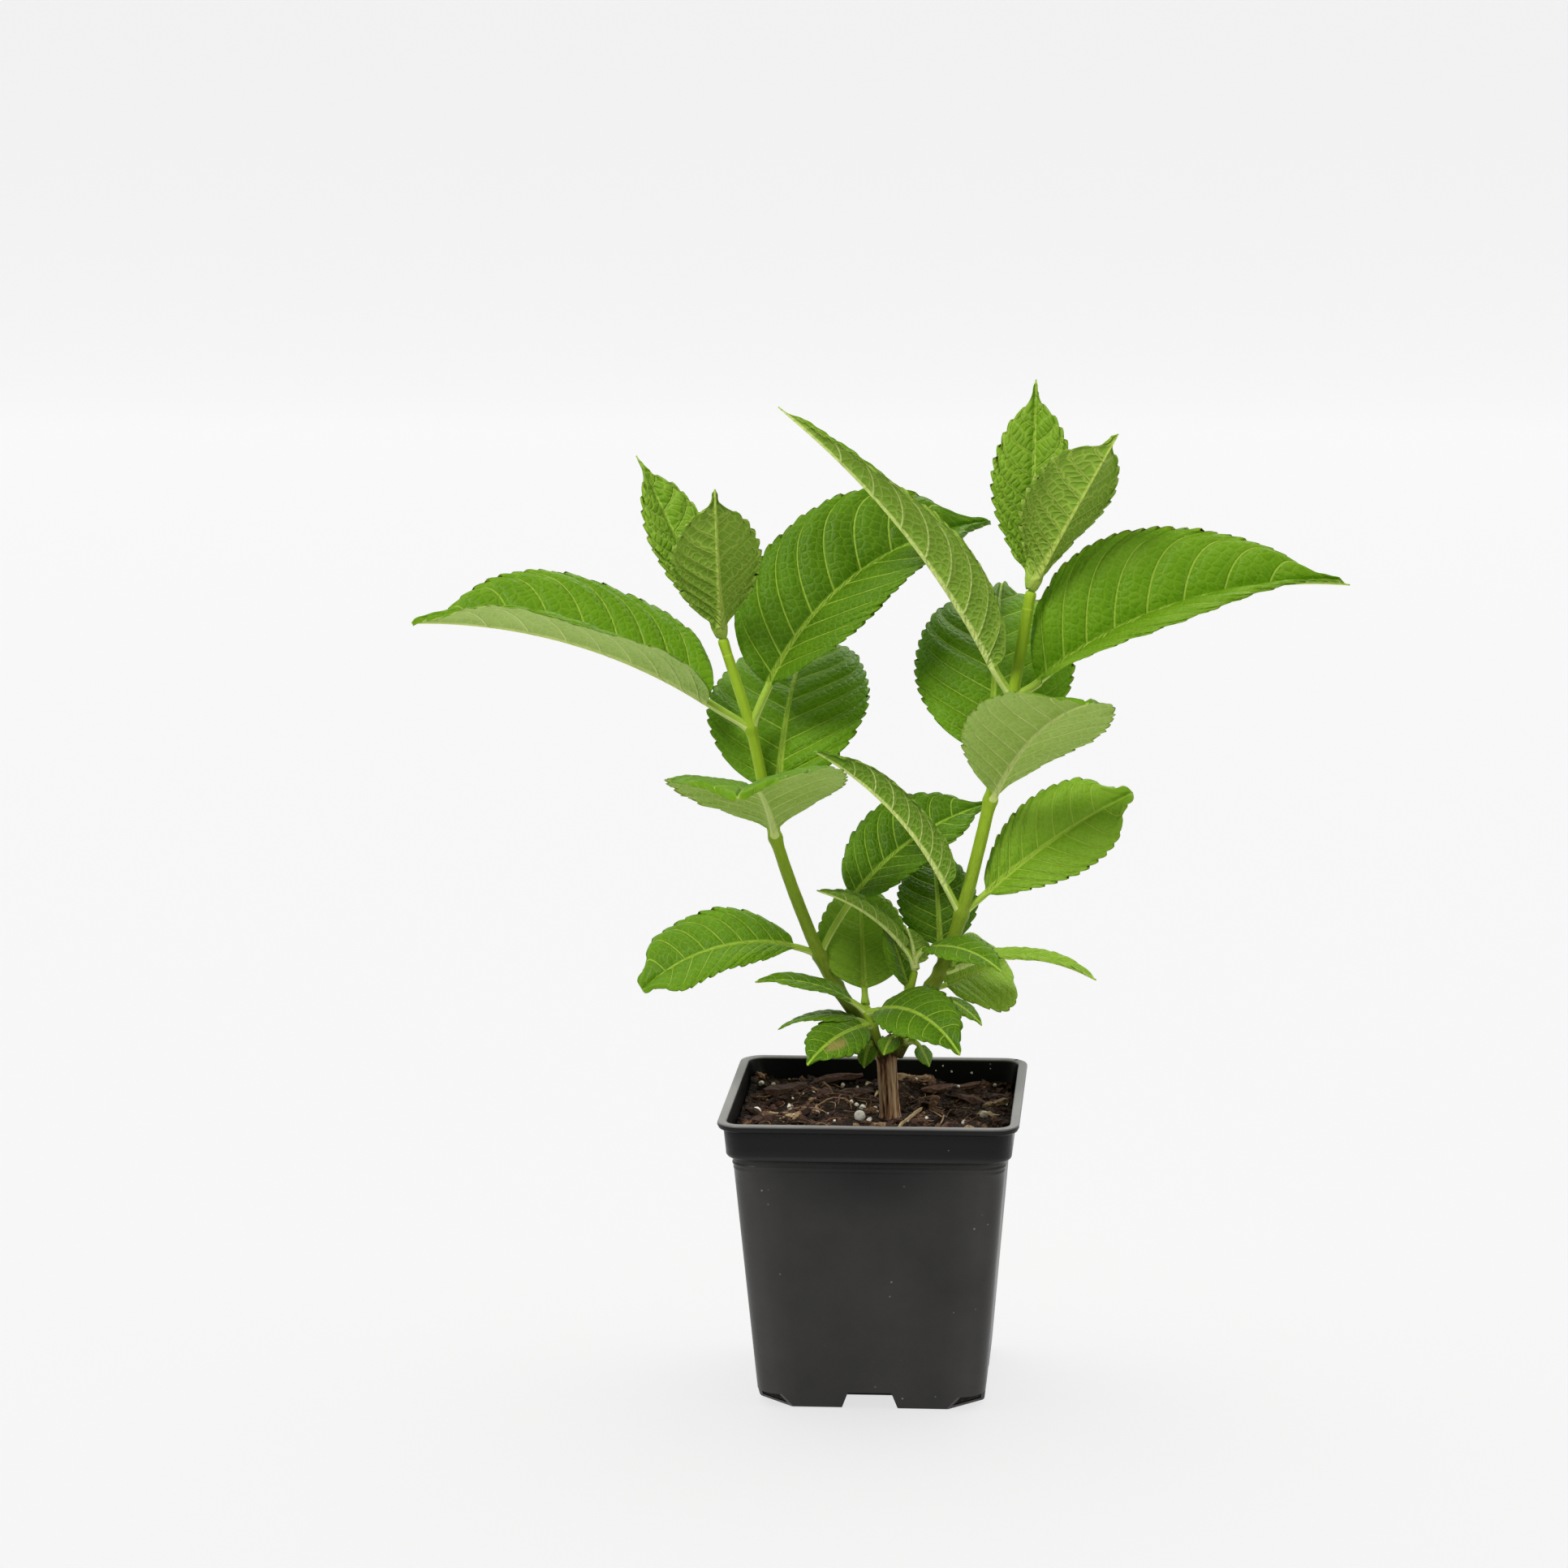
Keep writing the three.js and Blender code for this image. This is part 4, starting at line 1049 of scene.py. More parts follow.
def painted_reflections(points):
    """How much pale grey is painted on the pot for the light it reflects: a painted reflection of the
    bright floor on the outside of the body, darker in the middle of each face under the ledge and
    lighter at its corners, a painted highlight along the ledge, a faint grey over all the outside
    and a painted sheen on top of the lip. Outside is where the distance to the round square at that
    height is under half a wall."""
    z = points[:, 2]
    half = np.where(z < SHOULDER_Z, lerp(FOOT_WIDTH, SHOULDER_WIDTH, z / SHOULDER_Z), BAND_WIDTH) / 2
    flat = np.abs(points[:, :2])
    past = flat - (half - FOOT_CORNER)[:, None]
    depth = np.hypot(*np.maximum(past, 0).T) + np.minimum(past.max(1), 0) - FOOT_CORNER
    outside = depth > -POT_WALL / 2
    # Painted reflection: darker high in the middle of each face and lighter at the corners
    dark_reflection = bell(flat.min(1), 24) * smooth(z, 64, 84)
    corner = smooth(past.min(1), -4, 4)
    body = outside * (z < SHOULDER_Z + 0.1) * (0.085 * (1 - 0.8 * dark_reflection) + 0.045 * corner)
    # Painted highlight along the ledge, and painted sheen on top of the lip
    ledge_highlight = 0.06 * outside * bell(z - 88.2, 0.8)
    lip_sheen = 0.8 * smooth(z, 99.35, 99.8) + 0.012 * outside
    return body + ledge_highlight + lip_sheen


def inside_levels(inset):
    """The space inside the pot, from its floor up past the lip, whose inner edge is eased."""
    walls = 2 * (POT_WALL + inset)
    corner = FOOT_CORNER - POT_WALL
    levels = [
        (lerp(FOOT_WIDTH, SHOULDER_WIDTH, q) - walls, corner, lerp(POT_WALL + inset, 87.4, q))
        for q in np.linspace(0, 1, 10)
    ]
    levels += rounded_step((SHOULDER_WIDTH - walls, corner, 87.5), (BAND_WIDTH - walls, corner, 89.0))
    levels += [
        (BAND_TOP_WIDTH - walls, RIM_CORNER - POT_WALL, 99.2),
        (BAND_TOP_WIDTH - walls + 0.5, RIM_CORNER - POT_WALL, 99.7),
        (BAND_TOP_WIDTH - walls + 1.8, RIM_CORNER - POT_WALL, 100.02),
        (BAND_TOP_WIDTH - walls + 1.8, RIM_CORNER - POT_WALL, POT_HEIGHT + OVERCUT),
    ]
    return levels


def prism_sides(outline, start, end):
    """Four copies, a quarter turn apart, of a prism over an outline of (across, up) corners that
    runs outwards from the middle along +Y, from start to end."""
    flat = np.array(outline, float)[::-1]
    ends = [np.stack([flat[:, 0], np.full(len(flat), y), flat[:, 1]], -1) for y in (start, end)]
    return joined([closed_shell(np.stack(ends) @ about_z(q * np.pi / 2).T) for q in range(4)])


def channels(grow):
    """Drain channels under the middle of each side, drafted to be narrower at the top."""
    half = NOTCH_WIDTH / 2 + grow
    top = NOTCH_HEIGHT + grow
    outline = (
        (-half - NOTCH_DRAFT, -OVERCUT),
        (half + NOTCH_DRAFT, -OVERCUT),
        (half - NOTCH_DRAFT, top),
        (-half + NOTCH_DRAFT, top),
    )
    return prism_sides(outline, FOOT_WIDTH / 2 - NOTCH_REACH - grow, FOOT_WIDTH / 2 + OVERCUT)


def corner_wedges(grow):
    """Wedges that cut the foot's corners away along a slope, from the ground up: a four-sided
    outline along the diagonal, carried square across it."""
    top = CORNER_HEIGHT + grow
    corner = FOOT_WIDTH / np.sqrt(2) - FOOT_CORNER * (np.sqrt(2) - 1)
    section = np.array(
        [
            (corner - CORNER_LEG - grow, -CLEAR),
            (corner + OVERCUT, -CLEAR),
            (corner + OVERCUT, top),
            (corner - CORNER_SHELF, top),
        ]
    )
    shells = []
    for quarter in range(4):
        out, cross = about_z(np.pi / 4 + quarter * np.pi / 2).T[:2]
        face = section[:, :1] * out + section[:, 1:] * np.array([0, 0, 1])
        wide = FOOT_WIDTH / 2
        shells.append(closed_shell(np.stack([face + wide * cross, face - wide * cross])))
    return joined(shells)


def take_out(piece, cutter):
    """Takes one object out of a piece with a Boolean modifier, applies it and removes the cutter."""
    modifier = piece.modifiers.new("cut", "BOOLEAN")
    modifier.operation = "DIFFERENCE"
    modifier.solver = "EXACT"
    modifier.object = cutter
    depsgraph = bpy.context.evaluated_depsgraph_get()
    made = bpy.data.meshes.new_from_object(piece.evaluated_get(depsgraph))
    piece.modifiers.clear()
    old = piece.data
    piece.data = made
    bpy.data.meshes.remove(old)
    bpy.data.objects.remove(cutter)


def cut_away(piece, shell):
    """Takes a shell out of a piece."""
    take_out(piece, put_in("cutter", shell, []))


def soil_height(x, y, lumps):
    """Height of the compost above its level, as in the CAD source: a low mound, a slope to the back
    left and waves, fading to a level patch round the stem, plus finer lumps and crumbs. Hollows are
    no deeper than their limit, which is less at the walls."""
    mound = SOIL_MOUND * np.cos(np.pi * x / 100) * np.cos(np.pi * y / 100)
    waves = sum(h * np.sin(x / ax + y / ay + phase) for h, ax, ay, phase in SOIL_WAVES)
    from_stem = np.hypot(x - STEM_X, y - STEM_Y)
    fade = smooth(from_stem, STEM_PATCH, STEM_PATCH + STEM_PATCH_EDGE)
    at = np.stack([x, y, np.zeros_like(x)], -1)
    fine = lumps * sum(high * rough_noise(at, *kind) for high, *kind in SOIL_LUMPS)
    height = (mound + SOIL_SLOPE * (y - x) + waves) * fade + fine * lerp(0.35, 1, fade)
    at_wall = smooth(np.maximum(np.abs(x), np.abs(y)), WALL_FROM, WALL_TO)
    return np.maximum(height, -lerp(HOLLOW_DEPTH, HOLLOW_DEPTH_AT_WALL, at_wall))


def soil_bed(lumps):
    """The compost as one closed shell: round squares up the walls, then ever smaller ones over the
    top, each point lifted by the height of the compost there."""
    points = dict(per_corner=10, per_side=46)
    walls = [level for level in inside_levels(CLEAR) if level[2] < SOIL_LEVEL - 3]
    top = (BAND_WIDTH - 2 * (POT_WALL + CLEAR), FOOT_CORNER - POT_WALL, SOIL_LEVEL)
    rings = [round_square(*level, **points) for level in walls]
    for scale in (1, *np.linspace(0.985, 0.012, 96)):
        rings.append(round_square(*top, **points) * (scale, scale, 1))
    rings = np.stack(rings)
    on_top = np.arange(len(rings)) >= len(walls)
    rings[..., 2] += soil_height(rings[..., 0], rings[..., 1], lumps) * on_top[:, None]
    relief = np.where(on_top[:, None], 0.2 + 0.16 * rough_noise(rings, 4, 3, 3), 0.2)
    return closed_shell(rings, dict(relief=relief))


# Larger chips that show: middle x and y, length, width, bearing, shade
NAMED_CHIPS = (
    (-25.5, -3.5, 17, 4.2, 56, 0.72),
    (10.5, 41, 13, 7, -12, 0.62),
    (38, 3, 8, 4, 150, 0.85),
    (42.5, 15, 10, 4.5, 60, 0.7),
    (40, -12, 6, 3.4, 30, 0.78),
    (-33, 24, 15, 10, 20, 0.34),
    (-8, 27, 20, 8, 48, 0.26),
    (24, 30, 22, 7, -16, 0.36),
    (-19, 39, 24, 6, 8, 0.38),
    (26, -12, 12, 6, 74, 0.5),
    (31, 20, 14, 6, -28, 0.3),
    (-39, -14, 12, 6, 80, 0.25),
)
CHIP_PROFILE = (0.45, 0.85, 1, 0.95, 1, 0.8, 0.4)
# Straws, needles and roots that show: both ends' x and y, radius, bow and shade
NAMED_STRAWS = (
    (-37.3, 2.9, -28.9, 1.1, 0.45, 1.6, 0.8),
    (8, -19.9, 15.2, 9.1, 0.7, 0.4, 0.82),
    (17.7, 8.1, 22.4, -14.8, 0.3, 3.0, 0.75),
    (-22.4, 43.7, -15.7, 22.1, 0.4, 0.6, 0.55),
    (-6.2, 44, -1.8, 22.8, 0.5, 2.4, 0.95),
    (-13, 4, -12, 16, 0.3, 0.5, 0.5),
    (-28, 9, 0, 14, 0.28, 2.5, 0.5),
    (33, 24, 44, 26, 0.35, 1.5, 0.35),
    (-44, 18, -36, 20, 0.3, 0.8, 0.6),
)
# Grains of perlite that show: x, y and radius, first the bead in front of the stem
BEAD_PLACE = (-5, -7)
NAMED_GRAINS = (
    (*BEAD_PLACE, 1.9),
    (-41.8, 32.1, 1.1),
    (-30, 11.1, 1.2),
    (-40.5, 0.5, 1.5),
    (-1.5, -12, 0.9),
    (-5, 9, 1.2),
    (36.5, 0, 1.4),
)
# Specks that cling to the inside of the back wall: x, z and radius
WALL_SPECKS = (
    (18, 95.9, 0.25),
    (20.5, 97.6, 0.3),
    (23.5, 95.6, 0.42),
    (30.5, 95.2, 0.45),
    (37, 96.8, 0.2),
)
WALL_SPECK_Y = 46.3


def loose_chip(random, crumb):
    """A chip's place, length, width, bearing, shade and thickness, drawn at random. Small ones are
    commoner, by the third power, and a crumb is short and thick."""
    x, y = random.uniform(-WALL_TO, WALL_TO, 2)
    big = random.random() ** 3
    length = lerp(0.8, 2.4, big) if crumb else lerp(1.1, 7, big) * random.uniform(0.8, 1.3)
    width = length * (random.uniform(0.6, 0.95) if crumb else random.uniform(0.25, 0.8))
    bearing = random.uniform(0, 360)
    shade = random.choice([0.12, 0.25, 0.35, 0.5, 0.72], p=[0.2, 0.28, 0.26, 0.18, 0.08])
    thick = (0.45 if crumb else random.uniform(0.25, 0.5)) * min(width, 3)
    return x, y, length, width, bearing, shade, thick


def flake(random, length, width, thick):
    """A chip's rings, level along X: seven, six-sided, by a profile, bowed by a parabola, dented."""
    share = np.linspace(0, 1, len(CHIP_PROFILE))
    ends = np.array(CHIP_PROFILE) * random.uniform(0.8, 1.1, len(CHIP_PROFILE))
    turn = full_turn(6) + random.uniform(0, 1)
    cross_y = np.cos(turn)[None] * (ends * width / 2)[:, None]
    cross_z = np.sin(turn)[None] * (ends * thick)[:, None]
    along_x = np.broadcast_to(((share - 0.5) * length)[:, None], cross_y.shape)
    bow = random.uniform(-0.06, 0.06) * length * (1 - (2 * share - 1) ** 2)
    rings = np.stack([along_x, cross_y, cross_z + bow[:, None]], -1)
    return rings + 0.16 * min(width, 3) * random.uniform(-1, 1, rings.shape)


def chip_shells(count, seed):
    """Bark chips and crumbs, those that show and then loose ones, every other one a crumb. Each is
    tilted, turned to its bearing, kept off the stem, the bead and the walls, and laid on the top."""
    random = np.random.default_rng(seed)
    shells = []
    for i in range(len(NAMED_CHIPS) + count):
        if i < len(NAMED_CHIPS):
            x, y, length, width, bearing, shade = NAMED_CHIPS[i]
            thick = 0.6 + 0.16 * width
            lean = np.radians(random.uniform(-12, 12))
        else:
            x, y, length, width, bearing, shade, thick = loose_chip(random, i % 2 == 0)
            lean = np.radians(random.uniform(-35, 35))
        from_stem = np.hypot(x - STEM_X, y - STEM_Y)
        from_bead = np.hypot(x - BEAD_PLACE[0], y - BEAD_PLACE[1])
        if from_stem < CHIP_FROM_STEM + length / 2 or from_bead < CHIP_FROM_BEAD + length / 2:
            continue
        rings = flake(random, length, width, thick)
        way = np.radians(bearing)
        half_x, half_y = abs(np.cos(way)) * length / 2, abs(np.sin(way)) * length / 2
        most_x = min(LITTER_REACH + 0.5 - half_x, LITTER_REACH)
        most_y = min(LITTER_REACH + 0.5 - half_y, LITTER_REACH)
        x, y = np.clip(x, -most_x, most_x), np.clip(y, -most_y, most_y)
        z = SOIL_LEVEL + soil_height(np.array(x), np.array(y), 1) + 0.25 * thick
        rings = rings @ about_y(lean).T @ about_z(way).T + np.array([x, y, float(z)])
        shades = np.full(rings.shape[:2], shade + random.uniform(-0.08, 0.08))
        shells.append(closed_shell(rings, dict(shade=shades)))
    return shells


def straw_shells(seed):
    """Straws, needles and fine roots: thin round rods along a bowed line on the compost."""
    random = np.random.default_rng(seed)
    shells = []
    for i in range(len(NAMED_STRAWS) + STRAWS):
        if i < len(NAMED_STRAWS):
            x0, y0, x1, y1, radius, bow, shade = NAMED_STRAWS[i]
        else:
            x0, y0 = random.uniform(-40, 40, 2)
            coarse = i < COARSE_UP_TO
            way, length = random.uniform(0, 2 * np.pi), random.uniform(4, 13 if coarse else 8)
            x1 = np.clip(x0 + length * np.cos(way), -LITTER_REACH, LITTER_REACH)
            y1 = np.clip(y0 + length * np.sin(way), -LITTER_REACH, LITTER_REACH)
            radius = random.uniform(0.14, 0.34) if coarse else random.uniform(0.08, 0.16)
            bow = random.uniform(0.3, 2.5)
            shade = random.uniform(0.3, 0.75)
            if np.hypot((x0 + x1) / 2 - STEM_X, (y0 + y1) / 2 - STEM_Y) < STRAW_FROM_STEM:
                continue
        share = np.linspace(0, 1, 11)
        sideways = bow * np.sin(np.pi * share) * random.choice([-1, 1])
        span = np.array([x1 - x0, y1 - y0])
        across = np.array([-span[1], span[0]]) / np.linalg.norm(span)
        line = np.array([x0, y0]) + span * share[:, None] + across * sideways[:, None]
        z = SOIL_LEVEL + soil_height(line[:, 0], line[:, 1], 0.4) + 0.7 + 0.5 * np.sin(np.pi * share)
        centres = np.concatenate([line, z[:, None]], 1)
        along = unit(np.gradient(centres, axis=0))
        side = unit(np.cross([0, 0, 1], along))
        turn = full_turn(6)
        thin = radius * np.clip(np.sin(np.pi * (0.06 + 0.88 * share)) * 2.2, 0.3, 1)
        thin = np.broadcast_to(thin[:, None], (len(share), len(turn)))
        rings = tube(centres, side, np.cross(along, side), turn, thin, thin)
        shells.append(closed_shell(rings, dict(shade=np.full(rings.shape[:2], shade))))
    return shells


def ball_rings(rows, columns):
    """A ball of radius 1 as rings from its foot to its top, cut off flat close to both poles."""
    polar = np.linspace(np.pi * 0.97, np.pi * 0.03, rows)[:, None]
    turn = full_turn(columns)
    return points_of(np.sin(polar) * np.cos(turn), np.sin(polar) * np.sin(turn), np.cos(polar))


def grain_shells(seed):
    """Perlite grains: balls of rings round a lumpy middle, half sunk in the compost, all but the
    first, which is rounder and lies on it. Specks cling to the wall."""
    random = np.random.default_rng(seed)
    shells = []
    for i in range(len(NAMED_GRAINS) + GRAINS):
        if i < len(NAMED_GRAINS):
            x, y, radius = NAMED_GRAINS[i]
        else:
            x, y = random.uniform(-LITTER_REACH, LITTER_REACH, 2)
            radius = random.uniform(0.3, 0.85)
        if np.hypot(x - STEM_X, y - STEM_Y) < GRAIN_FROM_STEM:
            continue
        ball = ball_rings(14, 20) if radius > 1 else ball_rings(6, 8)
        lumps, proud = (0.07, 0.85) if i == 0 else (0.22, 0.45)
        ball = ball * radius * (1 + lumps * noise(ball, 0.7, i))[..., None]
        z = SOIL_LEVEL + soil_height(np.array(float(x)), np.array(float(y)), 1) + proud * radius
        shells.append(closed_shell(ball + np.array([x, y, float(z)])))
    for x, z, radius in WALL_SPECKS:
        shells.append(closed_shell(ball_rings(6, 8) * radius + np.array([x, WALL_SPECK_Y, z])))
    return shells


def bark_stub():
    """The old stem: rings up a slight lean. Its radius is the CAD taper and flare plus stringy
    ridges, waves round the stem whose phase drifts with height, and noise drawn out along it. The
    cut top is hollowed and splintered by noise round the rim, and closes inwards over its pith."""
    columns, rows = 132, 96
    turn = full_turn(columns)
    share = np.linspace(0, 1, rows)[:, None]
    height = share * STEM_HEIGHT
    flare = STEM_FLARE * np.clip(1 - height / STEM_FLARE_HEIGHT, 0, 1) ** 2
    base = lerp(STEM_RADIUS, STUB_RADIUS, share) + flare
    around = points_of(np.cos(turn) * 3, np.sin(turn) * 3, height / 9)
    strings = rough_noise(around, 0.75, 3, 4)
    plates = noise(around, 1.9, 9)
    flutes = np.cos(13 * turn + 0.12 * height)
    collars = sum(out * bell(height - at, wide) for at, wide, out in STEM_COLLARS)
    radius = base + (0.34 * strings + 0.2 * plates + 0.14 * flutes) + collars
    slant = STUB_SLANT * np.cos(turn) * smooth(share, 0.85, 1)
    z = SOIL_LEVEL - STEM_SEAT + share * (STEM_HEIGHT + STEM_SEAT + CLEAR) + slant
    lean = STEM_X - STEM_LEAN * share
    rings = points_of(lean + radius * np.cos(turn), STEM_Y + radius * np.sin(turn), z)
    top = rings[-1]
    splinter = 1.1 * noise(around[0] * (1, 1, 0), 0.8, 2)
    caps = []
    middle = np.array([STEM_X - STEM_LEAN, STEM_Y, top[:, 2].mean()])
    for scale, drop in ((0.93, 0.3), (0.8, 0.1), (0.6, -0.5), (0.4, -0.9), (0.2, -1.1)):
        ring = middle + (top - middle) * scale
        ring[:, 2] += drop + splinter * scale**2
        caps.append(ring)
    whole = np.concatenate([rings, np.stack(caps)])
    tone = 0.37 + 0.8 * (strings * 0.6 + plates * 0.3) - 0.3 * smooth(height, 19, 23)
    tone = tone + 0.12 * flutes - 0.2 * (1 - smooth(height, 1, 4))
    tone = np.concatenate([tone, np.full((len(caps), columns), 0.12)])
    return closed_shell(whole, dict(relief=tone))


def bud_pair(base, along, shade):
    """The bud at a shoot's end: two clasped leaf rudiments, each a pointed spindle whose section is
    an ellipse, wider across the pair than through it, leaning together at the point."""
    shells = []
    side = unit(np.cross([0.0, 1.0, 0.0], along))
    face = np.cross(along, side)
    share = np.linspace(0, 0.995, 22)
    profile = BUD_RADIUS * np.sqrt(np.clip(1 - share**1.6, 0, 1)) * (0.75 + 0.35 * np.sin(np.pi * share))
    turn = full_turn(24)
    for way in (-1, 1):
        part = 0.42 * BUD_RADIUS * way * (1 - share**2)
        centres = base + along * (share * BUD_LENGTH)[:, None] + face * part[:, None]
        crease = 1 - 0.12 * np.exp(-((np.sin(turn - way * np.pi / 2) - 1) ** 2) / 0.02)
        radius = profile[:, None] * crease
        sides = np.broadcast_to(side, centres.shape)
        faces = np.broadcast_to(face, centres.shape)
        rings = tube(centres, sides, faces, turn, 0.95 * radius, 0.6 * radius)
        values = leaf_blanks(rings)
        values["veins"] = np.full(rings.shape, 2.5)
        values["panel"] = np.full(rings.shape[:2], 9.0)
        values["shade"] = np.full(rings.shape[:2], shade)
        values.update(age=np.zeros(rings.shape[:2]), grain=np.zeros(rings.shape))
        shells.append(closed_shell(rings, values, 0))
    return shells


def length_setting(name, default, description):
    """A size in metres, shown as a length."""
    return bpy.props.FloatProperty(
        name=name, description=description, default=default, unit="LENGTH", precision=5
    )


def angle_setting(name, degrees, description):
    """An angle, shown in degrees."""
    return bpy.props.FloatProperty(
        name=name, description=description, default=np.radians(degrees), unit="ROTATION"
    )


def colour_setting(name, colour, description):
    """A colour given as sRGB hex."""
    return bpy.props.FloatVectorProperty(
        name=name, description=description, default=linear(colour), subtype="COLOR", size=4
    )


class HydrangeaSettings(bpy.types.PropertyGroup):
    """Sizes and colours of the plant and its pot that a user may change."""

    leaf_thickness: length_setting("Leaf thickness", 0.0004, "A blade's thickness between its veins")
    quilting: length_setting("Quilting", 0.0009, "How far a long blade arches between its side veins")
    soil_lumps: bpy.props.FloatProperty(
        name="Compost lumps", description="Height of the compost's finer lumps", default=1.0
    )
    chips: bpy.props.IntProperty(
        name="Bark chips", description="Number of loose chips on the compost", default=1500
    )
    pot_colour: colour_setting("Pot colour", "#0a0a0b", "Colour of the pot's plastic")


class StudioSettings(bpy.types.PropertyGroup):
    """Camera, floor and backdrop."""

    distance: length_setting("Camera distance", 1.6, "From the camera to the point it is aimed at")
    azimuth: angle_setting("Azimuth", 4.74, "Camera's turn to the right of the front")
    elevation: angle_setting("Elevation", 10.41, "Camera's height above level")
    roll: angle_setting("Roll", 0.4, "Camera's turn about its own axis")
    lens: bpy.props.FloatProperty(
        name="Lens", description="Focal length in millimetres on a 36 mm sensor", default=109.5
    )
    paper: colour_setting("Paper", "#b4b4b4", "Colour of floor and backdrop")


def leafy_skins(skins):
    """The three skins of a leafy piece: upper side, underside and green stem."""
    blade = [finish(name, leaf_surface, *look) for name, look in skins.items()]
    return [*blade, finish("Green stem skin", green_stem)]


# Where the camera is aimed, and where the lamps are: a broad key from above left, a fill and one
# behind. Each lamp: name, place in metres, size and power.
CAMERA_TARGET = (-30.5, 0, 205.5)
LAMP_TARGET = (0, 0, 0.17)
LAMPS = (
    ("Key", (-1.2, -1.6, 2.4), 1.2, 70),
    ("Fill", (1.9, -1.6, 1.2), 1.5, 14),
    ("Back", (0.6, 1.9, 2.2), 1.4, 22),
)
# The paper, in metres: how far it runs to the front, back and sides, its bend and its height
PAPER_FRONT = -6.0
PAPER_BACK = 3.0
PAPER_SIDE = 7
PAPER_BEND = 1.2
PAPER_TOP = 8.0


def set_up(name, data, right, up, back, place):
    """An object at a place whose own axes are right, up and back, so that it looks forward."""
    thing = bpy.data.objects.new(name, data)
    thing.matrix_world = Matrix([*zip(right, up, back, place), (0, 0, 0, 1)])
    bpy.context.scene.collection.objects.link(thing)
    return thing


def paper_sheet():
    """Seamless paper: a profile along Y that bends up through a quarter circle into the backdrop,
    carried along X."""
    turn = np.linspace(0, np.pi / 2, 24)
    quarter = [PAPER_BACK + PAPER_BEND * np.sin(turn), PAPER_BEND - PAPER_BEND * np.cos(turn)]
    top = (PAPER_BACK + PAPER_BEND, PAPER_TOP)
    profile = np.concatenate([[(PAPER_FRONT, 0.0)], np.stack(quarter, -1), [top]])
    x = np.linspace(-PAPER_SIDE, PAPER_SIDE, 15)
    points = points_of(x[:, None], profile[:, 0], profile[:, 1])
    n = len(profile)
    i = (np.arange(len(x) - 1)[:, None] * n + np.arange(n - 1)[None]).ravel()
    return dict(
        points=points.reshape(-1, 3) / MM,
        quads=np.stack([i, i + n, i + n + 1, i + 1], -1),
        tris=np.zeros((0, 3), int),
        quad_slots=np.zeros(len(i), int),
        tri_slots=np.zeros(0, int),
        values={},
    )


class HYDRANGEA_OT_stage(bpy.types.Operator):
    """Adds the camera, the lights and the seamless paper the pot stands on"""

    bl_idname = "hydrangea.stage"
    bl_label = "Stage"

    def execute(self, context):
        studio = context.scene.hydrangea_studio
        a, e, r = studio.azimuth, studio.elevation, studio.roll
        back = np.array([np.sin(a) * np.cos(e), -np.cos(a) * np.cos(e), np.sin(e)])
        right = np.array([np.cos(a), np.sin(a), 0])
        up = np.cross(back, right)
        right, up = right * np.cos(r) - up * np.sin(r), right * np.sin(r) + up * np.cos(r)
        data = bpy.data.cameras.new("Camera")
        data.lens = studio.lens
        data.sensor_width = 36
        data.clip_end = 50
        place = np.array(CAMERA_TARGET) * MM + back * studio.distance
        context.scene.camera = set_up("Camera", data, right, up, back, place)

        white = finish("Seamless studio paper", studio_paper, tuple(studio.paper))
        paper = put_in("studio_paper", paper_sheet(), [white])

        # A white tent that is darker on the camera's side
        world = context.scene.world or bpy.data.worlds.new("World")
        context.scene.world = world
        world.use_nodes = True
        tree = world.node_tree
        greys = ((0.0, "#4c4c4c"), (0.35, "#8a8a8a"), (0.6, "#e8e8e8"), (1.0, "#f6f6f6"))
        around = add(tree, "TexCoord").outputs["Generated"]
        direction = add(tree, "SeparateXYZ", {"Vector": around}).outputs["Y"]
        level = add(tree, "Math", {0: direction, 1: 0.5, 2: 0.5}, operation="MULTIPLY_ADD")
        tent = add(tree, "ValToRGB", {"Fac": level}, stops=greys)
        background = tree.nodes["Background"]
        tree.links.new(tent.outputs["Color"], background.inputs["Color"])
        background.inputs["Strength"].default_value = 0.8

        # The lamps light the plant and not the sheet, which is lit from below
        unlit = bpy.data.collections.new("Not lit by lamps")
        unlit.objects.link(paper)
        unlit.collection_objects[0].light_linking.link_state = "EXCLUDE"
        for name, spot, size, power in LAMPS:
            light = bpy.data.lights.new(name, "AREA")
            light.shape = "DISK"
            light.size = size
            light.energy = power
            away = unit(np.array(spot) - np.array(LAMP_TARGET))
            side = unit(np.cross([0, 0, 1], away))
            lamp = set_up(name, light, side, np.cross(away, side), away, spot)
            lamp.light_linking.receiver_collection = unlit
        context.scene.view_settings.view_transform = "Standard"
        return {"FINISHED"}


